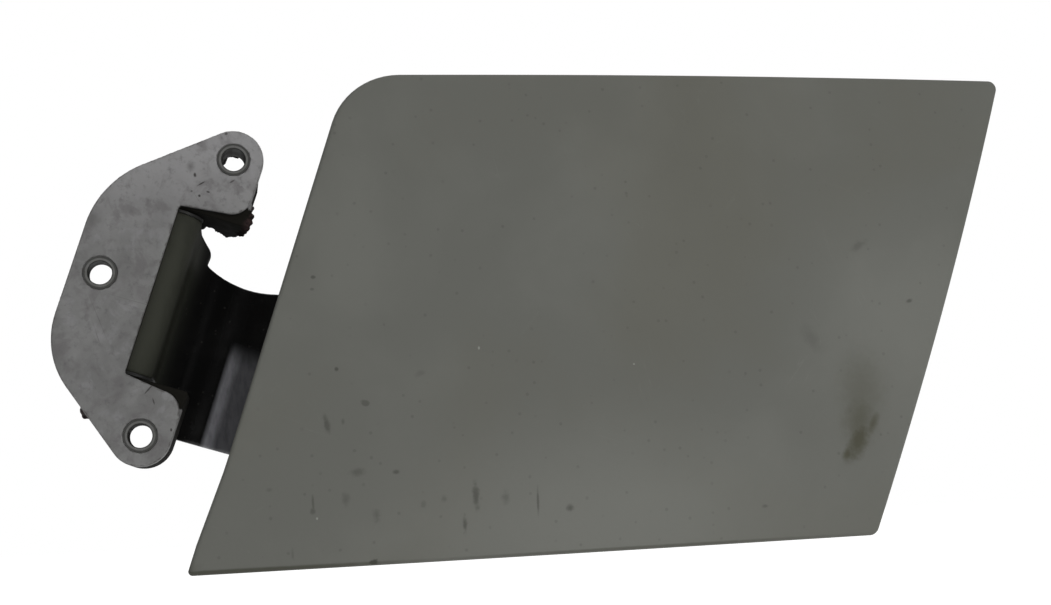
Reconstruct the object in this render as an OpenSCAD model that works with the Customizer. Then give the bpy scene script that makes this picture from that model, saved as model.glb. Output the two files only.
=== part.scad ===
// Car fuel door, closed, seen from outside the car along +Y.
// X runs along the car, Z is up, +Y points into the car.
// The origin is the middle bolt hole, on the face that bolts to the body.
// Pieces near the hinge are drawn in the leaning hinge frame:
// x across the hinge line, y into the car, z along the hinge line.

/* [Door] */
// Height of the top edge above the middle bolt
door_top = 57; // [45:0.1:70]
// Depth of the bottom edge below the middle bolt
door_bottom = 85.6; // [70:0.1:100]
// From the middle bolt to the left edge, square to the hinge line
door_left = 49.2; // [45:0.1:55]
// From the middle bolt to the top right corner, along the car
door_right = 282; // [230:0.1:320]
// Lean of the right edge from the vertical, in degrees
right_lean = 21.4; // [15:0.1:26]
// Radius of the top left corner
corner_top_left = 21.5; // [10:0.5:30]
// Radius of the top right corner
corner_top_right = 2.6; // [2.5:0.1:12]
// Radius of the bottom right corner
corner_bottom_right = 4; // [2.5:0.1:12]
// Radius of the bottom left corner
corner_bottom_left = 2.6; // [2.5:0.1:8]
// How far the middle of the door stands out in front of the bolting face
door_front = 9; // [7:0.1:12]
// Radius of the crown from top to bottom
crown_r = 620; // [450:10:1200]
// Radius of the crown along the car
sweep_r = 1900; // [1500:50:4000]
// Thickness of the outer sheet
skin_t = 0.8; // [0.6:0.05:1.2]
// Width of the edge that is folded back round the inner sheet
hem_w = 6.5; // [4:0.1:8]

/* [Inner panel] */
// Thickness of the inner sheet
inner_t = 0.7; // [0.5:0.05:1]
// Gap left between sheets that lie against each other
sheet_gap = 0.1; // [0.05:0.01:0.15]
// From the door's edge to the wall of the raised middle
pan_inset = 9.5; // [9:0.1:14]
// Height of the raised middle, from the outer face to its inner face
pan_depth = 5.9; // [5:0.1:7]
// Across the hinge line, start of the flat seat for the arm
seat_start = 61; // [60.5:0.1:62.5]
// Height of the flat seat inside the bolting face
seat_y = 2; // [2:0.05:3]
// Radius of the lightening holes
relief_r = 19; // [12:0.5:22]
// Distance between the lightening holes
relief_pitch = 50; // [46:0.5:52]
// From the door's right corner to the nearest lightening hole
relief_back = 90; // [84:0.5:92]

/* [Hinge line] */
// Lean of the hinge line from the vertical, in degrees
hinge_lean = 18.5; // [15:0.1:20]
// From the slot's edge across to the pin
pin_beyond = 0.5; // [0.3:0.1:1]
// Radius of the pin
pin_r = 2.5; // [2:0.05:2.8]
// Running clearance round the pin
pin_gap = 0.05; // [0.02:0.01:0.1]
// Clearance of parts that are pushed together
fit_gap = 0.02; // [0.01:0.01:0.05]
// Height of the pin's head
pin_head_t = 1.5; // [1:0.1:2]
// Radius of the pin's head and of its clip
pin_head_r = 4.5; // [4:0.1:5]
// Thickness of the retaining clip
clip_t = 0.8; // [0.6:0.1:1]

/* [Bracket] */
// Thickness of the bracket's plate
plate_t = 4; // [3:0.1:4.2]
// Thickness of the deep walls
wall_t = 3; // [2.5:0.1:3.5]
// Depth of the deep walls
wall_deep = 28.5; // [26:0.1:30]
// Depth of the lug that holds the spring
lug_deep = 33; // [32:0.1:34]
// Across the hinge line, from the middle bolt to the upper bolt
upper_across = 25.5; // [24:0.1:26]
// Across the hinge line, from the middle bolt to the lower bolt
lower_across = 24.3; // [23:0.1:26]
// Along the hinge line, from the slot's end to the upper bolt
upper_off = 17.4; // [16.5:0.1:20]
// Along the hinge line, from the slot's end to the lower bolt
lower_off = 15.5; // [15.2:0.1:20]
// Length of the bosses that hold the pin
pin_boss_l = 6; // [5:0.1:6.5]
// Radius of the lobes round the outer bolts
lobe_r = 8.6; // [8.4:0.1:9]
// Across the hinge line, from the middle bolt to the bracket's straight side
side_across = 8.1; // [8:0.1:10]
// Radius of the bracket's upper shoulder
upper_shoulder_r = 28; // [24:0.5:30]
// Radius of the bracket's lower shoulder
lower_shoulder_r = 24; // [20:0.5:26]
// Along the hinge line, from the middle to the upper shoulder's centre
upper_shoulder = 12.1; // [10:0.1:14]
// Along the hinge line, from the middle to the lower shoulder's centre
lower_shoulder = 14.4; // [12:0.1:16]
// Across the hinge line, from the middle bolt to the slot's edge
slot_n = 15; // [14.8:0.1:15.6]
// Half of the slot for the arm at its root
slot_half = 25.1; // [24.8:0.1:25.5]
// How much wider the slot is at the lobes' corners
slot_flare = 1.7; // [1:0.1:2.2]
// Radius of the lobes' inner corners
slot_corner = 5.8; // [4:0.1:6]
// Radius of the bosses round the sleeves
boss_r = 7.4; // [6.5:0.1:7.8]
// Length of the outer bolts' sleeves
sleeve_l = 10; // [8:0.5:12]
// Length of the middle bolt's sleeve
sleeve_short = 7; // [6:0.5:8]
// Outer radius of the bolt sleeves
sleeve_r = 4.65; // [4.4:0.05:5]
// Radius of the bolt holes, a free fit for M6
bolt_r = 3.3; // [3.2:0.05:3.4]

/* [Arm] */
// Radius of the arm's barrel
barrel_r = 6.5; // [6:0.1:6.6]
// Room between the barrel and the back of the plate
barrel_room = 0.5; // [0.3:0.1:1]
// Gap from the barrel's end to the bracket's wall
barrel_gap = 1.1; // [1:0.05:1.4]
// Wall of the curved arm
arm_t = 4; // [3.5:0.1:4.5]
// Thickness of the leg below the barrel
leg_t = 4.5; // [4:0.1:5]
// Depth of the inside of the bend behind the bolting face
bend_deep = 34.5; // [34.2:0.1:36]
// Across the hinge line, from the barrel's leg to where the arm starts to slope
slope_start = 18.4; // [16:0.1:22]
// Slope of the arm beyond the bend, in degrees
slope = 18; // [10:0.5:24]
// Across the hinge line, from the barrel's leg to the far leg
far_leg = 38; // [37.8:0.1:40]
// Inner radius of the bend beside the barrel's leg
bend_near_r = 10; // [6:0.5:12]
// Inner radius of the bend beside the far leg
bend_far_r = 8; // [6:0.5:10]
// Inner radius of the bend into the slope
bend_slope_r = 12; // [8:0.5:16]
// Along the hinge line, the arm's lower edge below the middle bolt
arm_low = 38; // [30:0.1:40]
// Along the hinge line, the lowest point of the arm's scooped upper edge
arm_high = 12.1; // [10:0.1:15]
// Radius of the scoop in the arm's upper edge
scoop_r = 34; // [30:0.5:45]
// Radius between the far leg and the flange
foot_r = 3; // [2:0.5:4]
// Length of the flange that is screwed to the door
flange_l = 27; // [26:0.1:30]
// From the barrel's leg to where the arm's lower wing starts, behind the lobe
wing_start = 5; // [5:0.1:8]

/* [Fasteners] */
// Radius of the screws
screw_r = 2.5; // [2:0.1:3]
// Clearance round the screws
screw_gap = 0.25; // [0.1:0.05:0.4]
// Radius of the screws' heads
screw_head_r = 5; // [4.5:0.1:5.5]
// Height of the screws' heads
screw_head_t = 2.8; // [2:0.1:3.5]
// From the flange's long edges to the screws
screw_inset = 8.8; // [7:0.1:11]
// Thickness of the nut plate in the door
nut_plate_t = 2.6; // [2:0.1:3]
// Across flats of the screws' sockets
socket_w = 4; // [3:0.5:5]

/* [Spring] */
// Radius of the spring's wire
wire_r = 0.9; // [0.7:0.05:1]
// Spring's fixed end, from the pin across to the left
anchor_across = 8.4; // [8:0.1:8.8]
// Spring's fixed end, from the pin into the car
anchor_deep = 18; // [17:0.1:18.5]
// Spring's moving end, from the pin across to the left
lug_across = 8.5; // [8.4:0.1:9]
// Spring's moving end, from the pin into the car
lug_in = 3.6; // [3:0.1:4.5]
// Along the hinge line, the plane that the spring lies in
spring_along = 15; // [14:0.5:18]
// Radius of the spring's loop
loop_r = 4.5; // [4:0.1:5]

/* [Latch side] */
// Diameter of the striker's bar
striker_d = 4.5; // [4:0.1:5.5]
// Reach of the striker into the car
striker_reach = 20; // [16:0.5:26]
// Distance between the striker's two legs
striker_w = 15; // [13:0.5:18]
// From the door's right corner to the striker, along the car
striker_back = 52; // [50:0.5:54]
// Room between the striker's bar and the rivets' heads
rivet_room = 0.3; // [0.2:0.1:1]
// From the rivets' centres to the ends of the striker's base
rivet_margin = 3.5; // [3:0.1:5]
// Width of the striker's base
striker_base_w = 13; // [11:0.5:14]
// Thickness of the striker's base
striker_base_t = 1.6; // [1.2:0.1:2]
// Radius of the rivets
rivet_r = 1.6; // [1.2:0.1:2]
// Radius of the rubber stops
stop_r = 5; // [4:0.1:6]
// Height of the rubber stops
stop_h = 6; // [4:0.1:8]
// From the door's edges to the rubber stops' centres
stop_inset = 19; // [17:0.5:22]

/* [Hidden] */
fine = 96;
medium = 48;
crown_steps = 720;
skin_white = [0.4, 0.4, 0.38];
cast_grey = [0.45, 0.45, 0.44];
black = [0.07, 0.07, 0.08];
steel = [0.62, 0.63, 0.64];
rubber = [0.12, 0.12, 0.12];

// A corner list turned into an outline with round corners.
// Each corner is [x, y, radius], and inset moves every side inwards.
function unit(v) = v / norm(v);
function turned(a) = a > 180 ? a - 360 : a < -180 ? a + 360 : a;
function corner_arc(before, at, after, r, inset) =
    let (back = unit([before[0] - at[0], before[1] - at[1]]))
    let (ahead = unit([after[0] - at[0], after[1] - at[1]]))
    let (half = acos(min(1, max(-1, back * ahead))) / 2)
    let (middle = unit(back + ahead))
    let (centre = [at[0], at[1]] + middle * r / sin(half))
    let (reach = r / tan(half))
    let (first = [at[0], at[1]] + back * reach - centre)
    let (last = [at[0], at[1]] + ahead * reach - centre)
    let (a = atan2(first[1], first[0]))
    let (swing = turned(atan2(last[1], last[0]) - a))
    let (steps = max(2, ceil(abs(swing) / 6)))
    let (small = r - inset)
    let (small_r = max(small, 0.1))
    let (shift = small < 0.1 ? middle * (0.1 - small) / sin(half) : [0, 0])
    [for (i = [0:steps]) centre + shift
        + small_r * [cos(a + swing * i / steps), sin(a + swing * i / steps)]];
function rounded(p, inset = 0) = [for (i = [0:len(p) - 1])
    each corner_arc(p[(i + len(p) - 1) % len(p)], p[i], p[(i + 1) % len(p)],
        p[i][2], inset)];
function arc(x, y, r, from, to, steps) = [for (i = [0:steps])
    [x + r * cos(from + (to - from) * i / steps),
     y + r * sin(from + (to - from) * i / steps)]];

// The door's four corners, as seen from outside.
left_top_x = door_left / cos(hinge_lean) + door_top * tan(hinge_lean);
left_low_x = door_left / cos(hinge_lean) - door_bottom * tan(hinge_lean);
right_low_x = door_right - (door_top + door_bottom) * tan(right_lean);
door_corners = [
    [left_low_x, -door_bottom, corner_bottom_left],
    [right_low_x, -door_bottom, corner_bottom_right],
    [door_right, door_top, corner_top_right],
    [left_top_x, door_top, corner_top_left]];
door_mid_x = (left_low_x + door_right) / 2;
door_mid_z = (door_top - door_bottom) / 2;
hem_deep = 2 * skin_t + inner_t + 2 * sheet_gap;
// Depth of the crowned surface, offset inwards by deep, at a place on the door.
function crown_at(x, z, deep) =
    let (out = sweep_r - crown_r + sqrt(pow(crown_r - deep, 2) - pow(z - door_mid_z, 2)))
    sweep_r - door_front - sqrt(out * out - pow(x - door_mid_x, 2));
// The furthest in and the furthest out that the surface gets within a footprint.
function corners_at(x, z, half_x, half_z, deep) =
    [for (i = [-1, 1]) for (k = [-1, 1]) crown_at(x + i * half_x, z + k * half_z, deep)];
function crown_high(x, z, half_x, half_z, deep) =
    max(corners_at(x, z, half_x, half_z, deep));
function crown_low(x, z, half_x, half_z, deep) =
    min(corners_at(x, z, half_x, half_z, deep));

// Places on the hinge line, from the middle bolt.
pin_across = slot_n + pin_beyond;
pin_deep = plate_t + barrel_room + barrel_r;
function bolt_n(side) = side > 0 ? upper_across : lower_across;
function bolt_t(side) = side * (slot_half + (side > 0 ? upper_off : lower_off));
function lobe_edge(side) = bolt_n(side) + lobe_r;
corner_t = slot_half + slot_flare + slot_corner;
lug_n0 = slot_n - 10.2;
barrel_half = slot_half - barrel_gap;
bush_wall = 1.05;
bush_r = pin_r + pin_gap + bush_wall;
bush_l = 10;
bush_flange_t = 0.8;
bush_flange_r = barrel_r - fit_gap;
pin_boss_r = 5.5;
pin_boss_end = slot_half + pin_boss_l;
pin_tail = 2;
groove_r = pin_r - 0.5;
inside_leg = pin_across + barrel_r;
outside_leg = inside_leg - leg_t;
far_n = inside_leg + far_leg;
slope_n = inside_leg + slope_start;
far_y = bend_deep - (far_n - slope_n) * tan(slope);
flange_end = far_n + arm_t + flange_l;
seat_wall = 1.6;
seat_end = flange_end + seat_wall;
scoop_n = slope_n + 0.1;
scoop_t = arm_high + scoop_r;
scoop_near = 25;
scoop_far = 20;
flange_high = scoop_t - scoop_r * cos(scoop_far);
seat_low = arm_low + seat_wall;
seat_high = flange_high + seat_wall;
seat_corner = 4;
wing_n = inside_leg + wing_start;
screw_near = far_n + arm_t + foot_r + screw_head_r + 0.5;
screw_end = flange_end - 8;
screw_up = arm_high - screw_inset;
screw_down = -arm_low + screw_inset;
screw_mid = (screw_up + screw_down) / 2;
screw_places = [[screw_near, screw_up], [screw_near, screw_down], [screw_end, screw_mid]];
nut_plate_y = seat_y - inner_t - nut_plate_t;
screw_tip = nut_plate_y - 0.4;
seat_face = seat_y + arm_t;
anchor_n = pin_across - anchor_across;
anchor_y = pin_deep + anchor_deep;
lug_n = pin_across - lug_across;
lug_y = pin_deep + lug_in;
bend_r = wire_r + sheet_gap / 4;
lug_half = 2;
lug_wall = 1.5;
striker_x = door_right - striker_back;
striker_z = door_mid_z + 4;
rivet_head_r = 1.7 * rivet_r;
rivet_out = striker_w / 2 + striker_d / 2 + rivet_head_r + rivet_room;
striker_base_l = 2 * (rivet_out + rivet_margin);
striker_y = crown_high(striker_x, striker_z, striker_base_w / 2, striker_base_l / 2,
    pan_depth) + sheet_gap / 2;
stop_t_z = door_top - stop_inset;
stop_b_z = -door_bottom + stop_inset;
function right_edge(z) = door_right - (door_top - z) * tan(right_lean);
stop_t_x = right_edge(stop_t_z) - stop_inset / cos(right_lean);
stop_b_x = right_edge(stop_b_z) - stop_inset / cos(right_lean);
stem_r = stop_r / 2;
// The upper wall is broken off along this line, from the middle bolt.
break_line = [[slot_n + 1.8, 32.4], [slot_n + 5.4, 31.4], [slot_n + 6.8, 29.5],
    [slot_n + 7.5, 21.1], [slot_n + 9.9, 23], [slot_n + 11.8, 27.9],
    [slot_n + 14.3, 30.2], [slot_n + 16.6, 24.5], [lobe_edge(1) - 0.3, 19.9],
    [lobe_edge(1) + 1, 18.4]];
lug_far = anchor_n + 3.5;

module hinge_frame() {
    rotate([0, hinge_lean, 0])
        children();
}
// Children are flat outlines in x and z, drawn from one depth to another.
module inwards(from, to) {
    translate([0, to, 0])
        rotate([90, 0, 0])
            linear_extrude(to - from)
                children();
}
// Children are flat outlines in x and y, drawn along the hinge line.
module upwards(from, to) {
    translate([0, 0, from])
        linear_extrude(to - from)
            children();
}
module rod_in(x, z, r, from, to, smooth = medium) {
    translate([x, to, z])
        rotate([90, 0, 0])
            cylinder(h = to - from, r = r, $fn = smooth);
}
module rod_up(x, y, r, from, to, smooth = medium) {
    translate([x, y, from])
        cylinder(h = to - from, r = r, $fn = smooth);
}
module door_outline(inset = 0) {
    polygon(rounded(door_corners, inset));
}
module ring_outline(outer, inner) {
    difference() {
        door_outline(outer);
        door_outline(inner);
    }
}
// A doubly crowned sheet between two depths under the outer face.
module crowned(from, to) {
    span = 16;
    reach = 12;
    translate([door_mid_x, sweep_r - door_front, door_mid_z])
        rotate([0, 0, -90 - span / 2])
            rotate_extrude(angle = span, $fn = crown_steps)
                intersection() {
                    difference() {
                        translate([sweep_r - crown_r, 0])
                            circle(r = crown_r - from, $fn = crown_steps);
                        translate([sweep_r - crown_r, 0])
                            circle(r = crown_r - to, $fn = crown_steps);
                    }
                    translate([sweep_r - reach - to, -(door_top + door_bottom)])
                        square([2 * reach + to, 2 * (door_top + door_bottom)]);
                }
}
module door_prism(inset) {
    inwards(-door_front - 1, 3 * door_front)
        door_outline(inset);
}

module outer_skin() {
    color(skin_white)
        difference() {
            intersection() {
                crowned(0, hem_deep);
                door_prism(0);
            }
            intersection() {
                crowned(skin_t, hem_deep - skin_t);
                door_prism(skin_t);
            }
            intersection() {
                crowned(skin_t, hem_deep + 1);
                door_prism(hem_w);
            }
        }
}

module seat_outline(inset) {
    polygon(rounded([
        [seat_start, -seat_low, seat_corner],
        [seat_end, -seat_low, seat_corner],
        [seat_end, seat_high, seat_corner],
        [seat_start, seat_high, seat_corner]], inset));
}
module at_screws() {
    for (place = screw_places)
        translate([place[0], 0, place[1]])
            children();
}
module inner_panel() {
    under = skin_t + sheet_gap;
    color(skin_white)
        difference() {
            union() {
                intersection() {
                    crowned(under, under + inner_t);
                    door_prism(skin_t + sheet_gap);
                }
                intersection() {
                    crowned(under, pan_depth);
                    door_prism(pan_inset);
                }
                intersection() {
                    crowned(pan_depth - inner_t, pan_depth + 6);
                    hinge_frame()
                        inwards(-door_front, seat_y)
                            seat_outline(0);
                }
            }
            intersection() {
                crowned(0, pan_depth - inner_t);
                door_prism(pan_inset + inner_t);
            }
            hinge_frame() {
                inwards(-door_front, seat_y - inner_t)
                    seat_outline(inner_t);
                at_screws()
                    rod_in(0, 0, screw_r + screw_gap, -door_front, 2 * seat_y + 1);
            }
            for (i = [0:1])
                rod_in(door_right - relief_back - i * relief_pitch, door_mid_z,
                    relief_r, -door_front, door_front, fine);
            for (side = [-1, 1])
                rod_in(striker_x, striker_z + side * rivet_out, rivet_r + sheet_gap,
                    -door_front, door_front);
            rod_in(stop_t_x, stop_t_z, stem_r + sheet_gap, -door_front, door_front);
            rod_in(stop_b_x, stop_b_z, stem_r + sheet_gap, -door_front, door_front);
        }
}

module arm_section() {
    polygon(rounded([
        [outside_leg, pin_deep, 0.5],
        [outside_leg, bend_deep + arm_t, bend_near_r + arm_t],
        [slope_n + arm_t * tan(slope / 2), bend_deep + arm_t, bend_slope_r + arm_t],
        [far_n + arm_t, far_y + arm_t * tan(45 - slope / 2), bend_far_r + arm_t],
        [far_n + arm_t, seat_face, foot_r],
        [flange_end, seat_face, 1],
        [flange_end, seat_y, 1],
        [far_n, seat_y, 2],
        [far_n, far_y, bend_far_r],
        [slope_n, bend_deep, bend_slope_r],
        [inside_leg, bend_deep, bend_near_r],
        [inside_leg, pin_deep, 0.5]]));
}
module arm_outline() {
    polygon(concat(
        [[outside_leg - 1, barrel_half], [inside_leg - 2, barrel_half],
         [inside_leg - 0.4, barrel_half - 0.8], [inside_leg + 3.4, barrel_half - 4],
         [inside_leg + 3.9, barrel_half - 5.2],
         [inside_leg + 3.6, scoop_t - scoop_r * cos(scoop_near + 1.5)]],
        arc(scoop_n, scoop_t, scoop_r, -90 - scoop_near, -90 + scoop_far, 15),
        [[flange_end + 1, flange_high], [flange_end + 1, -arm_low]],
        arc(wing_n + 2, -arm_low + 2, 2, -90, -180, 5),
        [[wing_n, -barrel_half], [outside_leg - 1, -barrel_half]]));
}
module hinge_arm() {
    color(black)
        hinge_frame()
            difference() {
                union() {
                    intersection() {
                        upwards(-arm_low - 1, barrel_half + 1)
                            arm_section();
                        inwards(0, bend_deep + arm_t + 1)
                            arm_outline();
                    }
                    rod_up(pin_across, pin_deep, barrel_r, -barrel_half, barrel_half, fine);
                    upwards(spring_along - wire_r - 2 * lug_half - 0.6, spring_along - wire_r - 0.6)
                        hull() {
                            translate([lug_n, lug_y])
                                circle(r = wire_r + lug_wall, $fn = 32);
                            translate([pin_across, pin_deep])
                                circle(r = barrel_r - 1.5, $fn = 32);
                        }
                }
                rod_up(pin_across, pin_deep, bush_r, -barrel_half - 1, barrel_half + 1, fine);
                rod_up(lug_n, lug_y, wire_r + sheet_gap, 0, spring_along);
                at_screws()
                    rod_in(0, 0, screw_r + screw_gap, 0, seat_face + 1);
            }
}
module bush(side) {
    color("ivory")
        hinge_frame()
            mirror([0, 0, side > 0 ? 0 : 1])
                difference() {
                    union() {
                        rod_up(pin_across, pin_deep, bush_r - fit_gap,
                            barrel_half - bush_l, barrel_half + fit_gap, fine);
                        rod_up(pin_across, pin_deep, bush_flange_r,
                            barrel_half + fit_gap, barrel_half + bush_flange_t, fine);
                    }
                    rod_up(pin_across, pin_deep, pin_r + pin_gap, 0, 2 * slot_half, fine);
                }
}
module bush_upper() {
    bush(1);
}
module bush_lower() {
    bush(-1);
}

module arm_nut_plate() {
    color(steel)
        hinge_frame()
            difference() {
                inwards(nut_plate_y, nut_plate_y + nut_plate_t)
                    seat_outline(inner_t + 1);
                at_screws()
                    rod_in(0, 0, screw_r + fit_gap, nut_plate_y - 1, seat_face);
            }
}
module arm_screw(place) {
    color(steel)
        hinge_frame()
            translate([place[0], 0, place[1]])
                difference() {
                    union() {
                        rod_in(0, 0, screw_r, screw_tip, seat_face + screw_head_t / 2);
                        rod_in(0, 0, screw_head_r, seat_face, seat_face + screw_head_t);
                    }
                    rod_in(0, 0, socket_w / sqrt(3), seat_face + screw_head_t / 2,
                        seat_face + screw_head_t + 1, 6);
                }
}
module arm_screw_upper() {
    arm_screw(screw_places[0]);
}
module arm_screw_lower() {
    arm_screw(screw_places[1]);
}
module arm_screw_far() {
    arm_screw(screw_places[2]);
}

// The bracket's outline with no slot.
// Only the left of each shoulder counts, since its circle is wider than the lobes.
module bracket_hull() {
    hull() {
        polygon(concat(
            arc(upper_shoulder_r - side_across, upper_shoulder, upper_shoulder_r,
                120, 180, 30),
            arc(lower_shoulder_r - side_across, -lower_shoulder, lower_shoulder_r,
                180, 240, 30)));
        for (side = [-1, 1])
            translate([bolt_n(side), bolt_t(side)])
                circle(r = lobe_r, $fn = fine);
    }
}
module plate_outline() {
    corner_in = slot_corner + 0.3;
    difference() {
        bracket_hull();
        polygon(concat(
            [[slot_n, -slot_half]],
            arc(lobe_edge(-1) - corner_in, -corner_t, slot_corner, 90, 0, 12),
            [[2 * lobe_edge(-1), -corner_t], [2 * lobe_edge(-1), corner_t]],
            arc(lobe_edge(1) - corner_in, corner_t, slot_corner, 0, -90, 12),
            [[slot_n, slot_half]]));
    }
}
// Outline of a deep lobe, side 1 above and side -1 below. Its wall by the slot is straight.
module lobe_outline(side) {
    intersection() {
        bracket_hull();
        mirror([0, side > 0 ? 0 : 1])
            translate([lug_n0, slot_half])
                square(2 * bolt_t(1));
    }
}
module lobe_walls(side, deep) {
    inwards(plate_t - 1, deep)
        difference() {
            lobe_outline(side);
            offset(delta = -wall_t)
                lobe_outline(side);
        }
}
module at_bolts() {
    for (side = [-1, 1])
        translate([bolt_n(side), 0, bolt_t(side)])
            children();
}
module hinge_bracket() {
    color(cast_grey)
        hinge_frame()
            difference() {
                union() {
                    inwards(0, plate_t)
                        plate_outline();
                    intersection() {
                        lobe_walls(1, lug_deep);
                        upwards(0, 2 * bolt_t(1))
                            polygon(concat([[lug_n0 - 1, 0], [lug_n0 - 1, lug_deep],
                                [lug_far, lug_deep]], break_line, [[lobe_edge(1) + 1, 0]]));
                        // The wall on the lobe's right is gone, down to the one by the slot.
                        inwards(0, lug_deep)
                            polygon([[0, 0], [2 * lobe_edge(1), 0],
                                [2 * lobe_edge(1), slot_half + wall_t],
                                [bolt_n(1), bolt_t(1)], [bolt_n(1), 2 * bolt_t(1)],
                                [0, 2 * bolt_t(1)]]);
                    }
                    lobe_walls(-1, wall_deep);
                    at_bolts()
                        rod_in(0, 0, boss_r, 0, sleeve_l, fine);
                    rod_in(0, 0, boss_r, 0, sleeve_short, fine);
                    for (side = [-1, 1])
                        rod_up(pin_across, pin_deep, pin_boss_r,
                            min(side * (slot_half + 1.8), side * pin_boss_end),
                            max(side * (slot_half + 1.8), side * pin_boss_end), fine);
                }
                at_bolts()
                    rod_in(0, 0, sleeve_r + fit_gap, -1, sleeve_l + 1, fine);
                rod_in(0, 0, sleeve_r + fit_gap, -1, sleeve_l, fine);
                rod_up(pin_across, pin_deep, pin_r + fit_gap, -2 * slot_half, 2 * slot_half, fine);
                rod_up(anchor_n, anchor_y, wire_r + sheet_gap, 0, slot_half + wall_t + 1);
            }
}
module sleeve(across, along, long) {
    color(steel)
        hinge_frame()
            translate([across, 0, along])
                difference() {
                    rod_in(0, 0, sleeve_r, 0, long, fine);
                    rod_in(0, 0, bolt_r, -1, long + 1, fine);
                }
}
module sleeve_upper() {
    sleeve(bolt_n(1), bolt_t(1), sleeve_l);
}
module sleeve_middle() {
    sleeve(0, 0, sleeve_short);
}
module sleeve_lower() {
    sleeve(bolt_n(-1), bolt_t(-1), sleeve_l);
}

clip_top = -pin_boss_end - fit_gap;
module hinge_pin() {
    color(steel)
        hinge_frame()
            difference() {
                union() {
                    rod_up(pin_across, pin_deep, pin_r, -pin_boss_end - pin_tail,
                        pin_boss_end + fit_gap + pin_head_t / 2, fine);
                    rod_up(pin_across, pin_deep, pin_head_r, pin_boss_end + fit_gap,
                        pin_boss_end + fit_gap + pin_head_t, fine);
                }
                difference() {
                    rod_up(pin_across, pin_deep, barrel_r, clip_top - clip_t - sheet_gap,
                        clip_top + fit_gap / 2, fine);
                    rod_up(pin_across, pin_deep, groove_r, -2 * slot_half, 0, fine);
                }
            }
}
module pin_clip() {
    color(steel)
        hinge_frame()
            difference() {
                rod_up(pin_across, pin_deep, pin_head_r, clip_top - clip_t, clip_top, fine);
                rod_up(pin_across, pin_deep, groove_r + fit_gap, -2 * slot_half, 0, fine);
                translate([pin_across - groove_r * 0.8, pin_deep, clip_top - 2 * clip_t])
                    cube([groove_r * 1.6, pin_head_r + 1, 3 * clip_t]);
            }
}

// A straight length of wire between two places in the spring's plane.
module wire_leg(from, to) {
    run = norm(to - from);
    translate([from[0], from[1], spring_along])
        rotate([0, 90, atan2(to[1] - from[1], to[0] - from[0])])
            cylinder(h = run, r = wire_r, $fn = medium);
}
module wire_end(place, top) {
    rod_up(place[0], place[1], wire_r, min(top, spring_along), max(top, spring_along));
    translate([place[0], place[1], spring_along])
        sphere(r = bend_r, $fn = medium);
}
module toggle_spring() {
    anchor = [anchor_n, anchor_y];
    lug = [lug_n, lug_y];
    loop = [anchor_n - loop_r, (anchor_y + lug_y) / 2];
    color(steel)
        hinge_frame() {
            wire_end(anchor, slot_half + wall_t - 0.5);
            wire_end(lug, spring_along - wire_r - 2 * lug_half - 1.4);
            wire_leg(anchor, loop + [0, loop_r]);
            wire_leg(lug, loop - [0, loop_r]);
            for (side = [-1, 1])
                translate([loop[0], loop[1] + side * loop_r, spring_along])
                    sphere(r = bend_r, $fn = medium);
            translate([loop[0], loop[1], spring_along])
                rotate([0, 0, 90])
                    rotate_extrude(angle = 180, $fn = fine)
                        translate([loop_r, 0])
                            circle(r = wire_r, $fn = medium);
        }
}

module striker() {
    bar_r = striker_d / 2;
    low = striker_y + striker_base_t;
    top = striker_y + striker_reach - bar_r;
    half = striker_w / 2;
    color(steel)
        difference() {
            union() {
                translate([striker_x - striker_base_w / 2, striker_y,
                        striker_z - striker_base_l / 2])
                    cube([striker_base_w, striker_base_t, striker_base_l]);
                for (side = [-1, 1]) {
                    rod_in(striker_x, striker_z + side * half, bar_r, low - 0.5, top);
                    translate([striker_x, top, striker_z + side * half])
                        sphere(r = bar_r, $fn = medium);
                }
                translate([0, 0, striker_z])
                    rod_up(striker_x, top, bar_r, -half, half);
            }
            for (side = [-1, 1])
                rod_in(striker_x, striker_z + side * rivet_out, rivet_r + fit_gap,
                    striker_y - 1, low + 1);
        }
}
module striker_rivet(side) {
    z = striker_z + side * rivet_out;
    top = striker_y + striker_base_t + fit_gap;
    under = crown_low(striker_x, z, rivet_head_r, rivet_head_r, pan_depth - inner_t)
        - sheet_gap / 2;
    color(steel) {
        rod_in(striker_x, z, rivet_r, under - 0.5, top + 0.5);
        rod_in(striker_x, z, rivet_head_r, top, top + 1.2);
        rod_in(striker_x, z, rivet_head_r, under - 1, under);
    }
}
module striker_rivet_upper() {
    striker_rivet(1);
}
module striker_rivet_lower() {
    striker_rivet(-1);
}

module stop(x, z) {
    bulb_r = 1.3 * stem_r;
    seat = crown_high(x, z, stop_r, stop_r, pan_depth) + sheet_gap / 2;
    under = crown_low(x, z, bulb_r, bulb_r, pan_depth - inner_t) - sheet_gap / 2;
    color(rubber) {
        rod_in(x, z, stop_r, seat, seat + stop_h);
        rod_in(x, z, stem_r, under - 0.5, seat + 0.5);
        rod_in(x, z, bulb_r, under - 1.2, under);
    }
}
module stop_upper() {
    stop(stop_t_x, stop_t_z);
}
module stop_lower() {
    stop(stop_b_x, stop_b_z);
}

outer_skin();
inner_panel();
hinge_arm();
arm_nut_plate();
arm_screw_upper();
arm_screw_lower();
arm_screw_far();
hinge_bracket();
sleeve_upper();
sleeve_middle();
sleeve_lower();
hinge_pin();
pin_clip();
bush_upper();
bush_lower();
toggle_spring();
striker();
striker_rivet_upper();
striker_rivet_lower();
stop_upper();
stop_lower();
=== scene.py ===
from math import atan2, ceil, cos, pi, radians, sin, tan

import bmesh
import bpy
import numpy as np
from mathutils import Matrix, Vector


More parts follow.
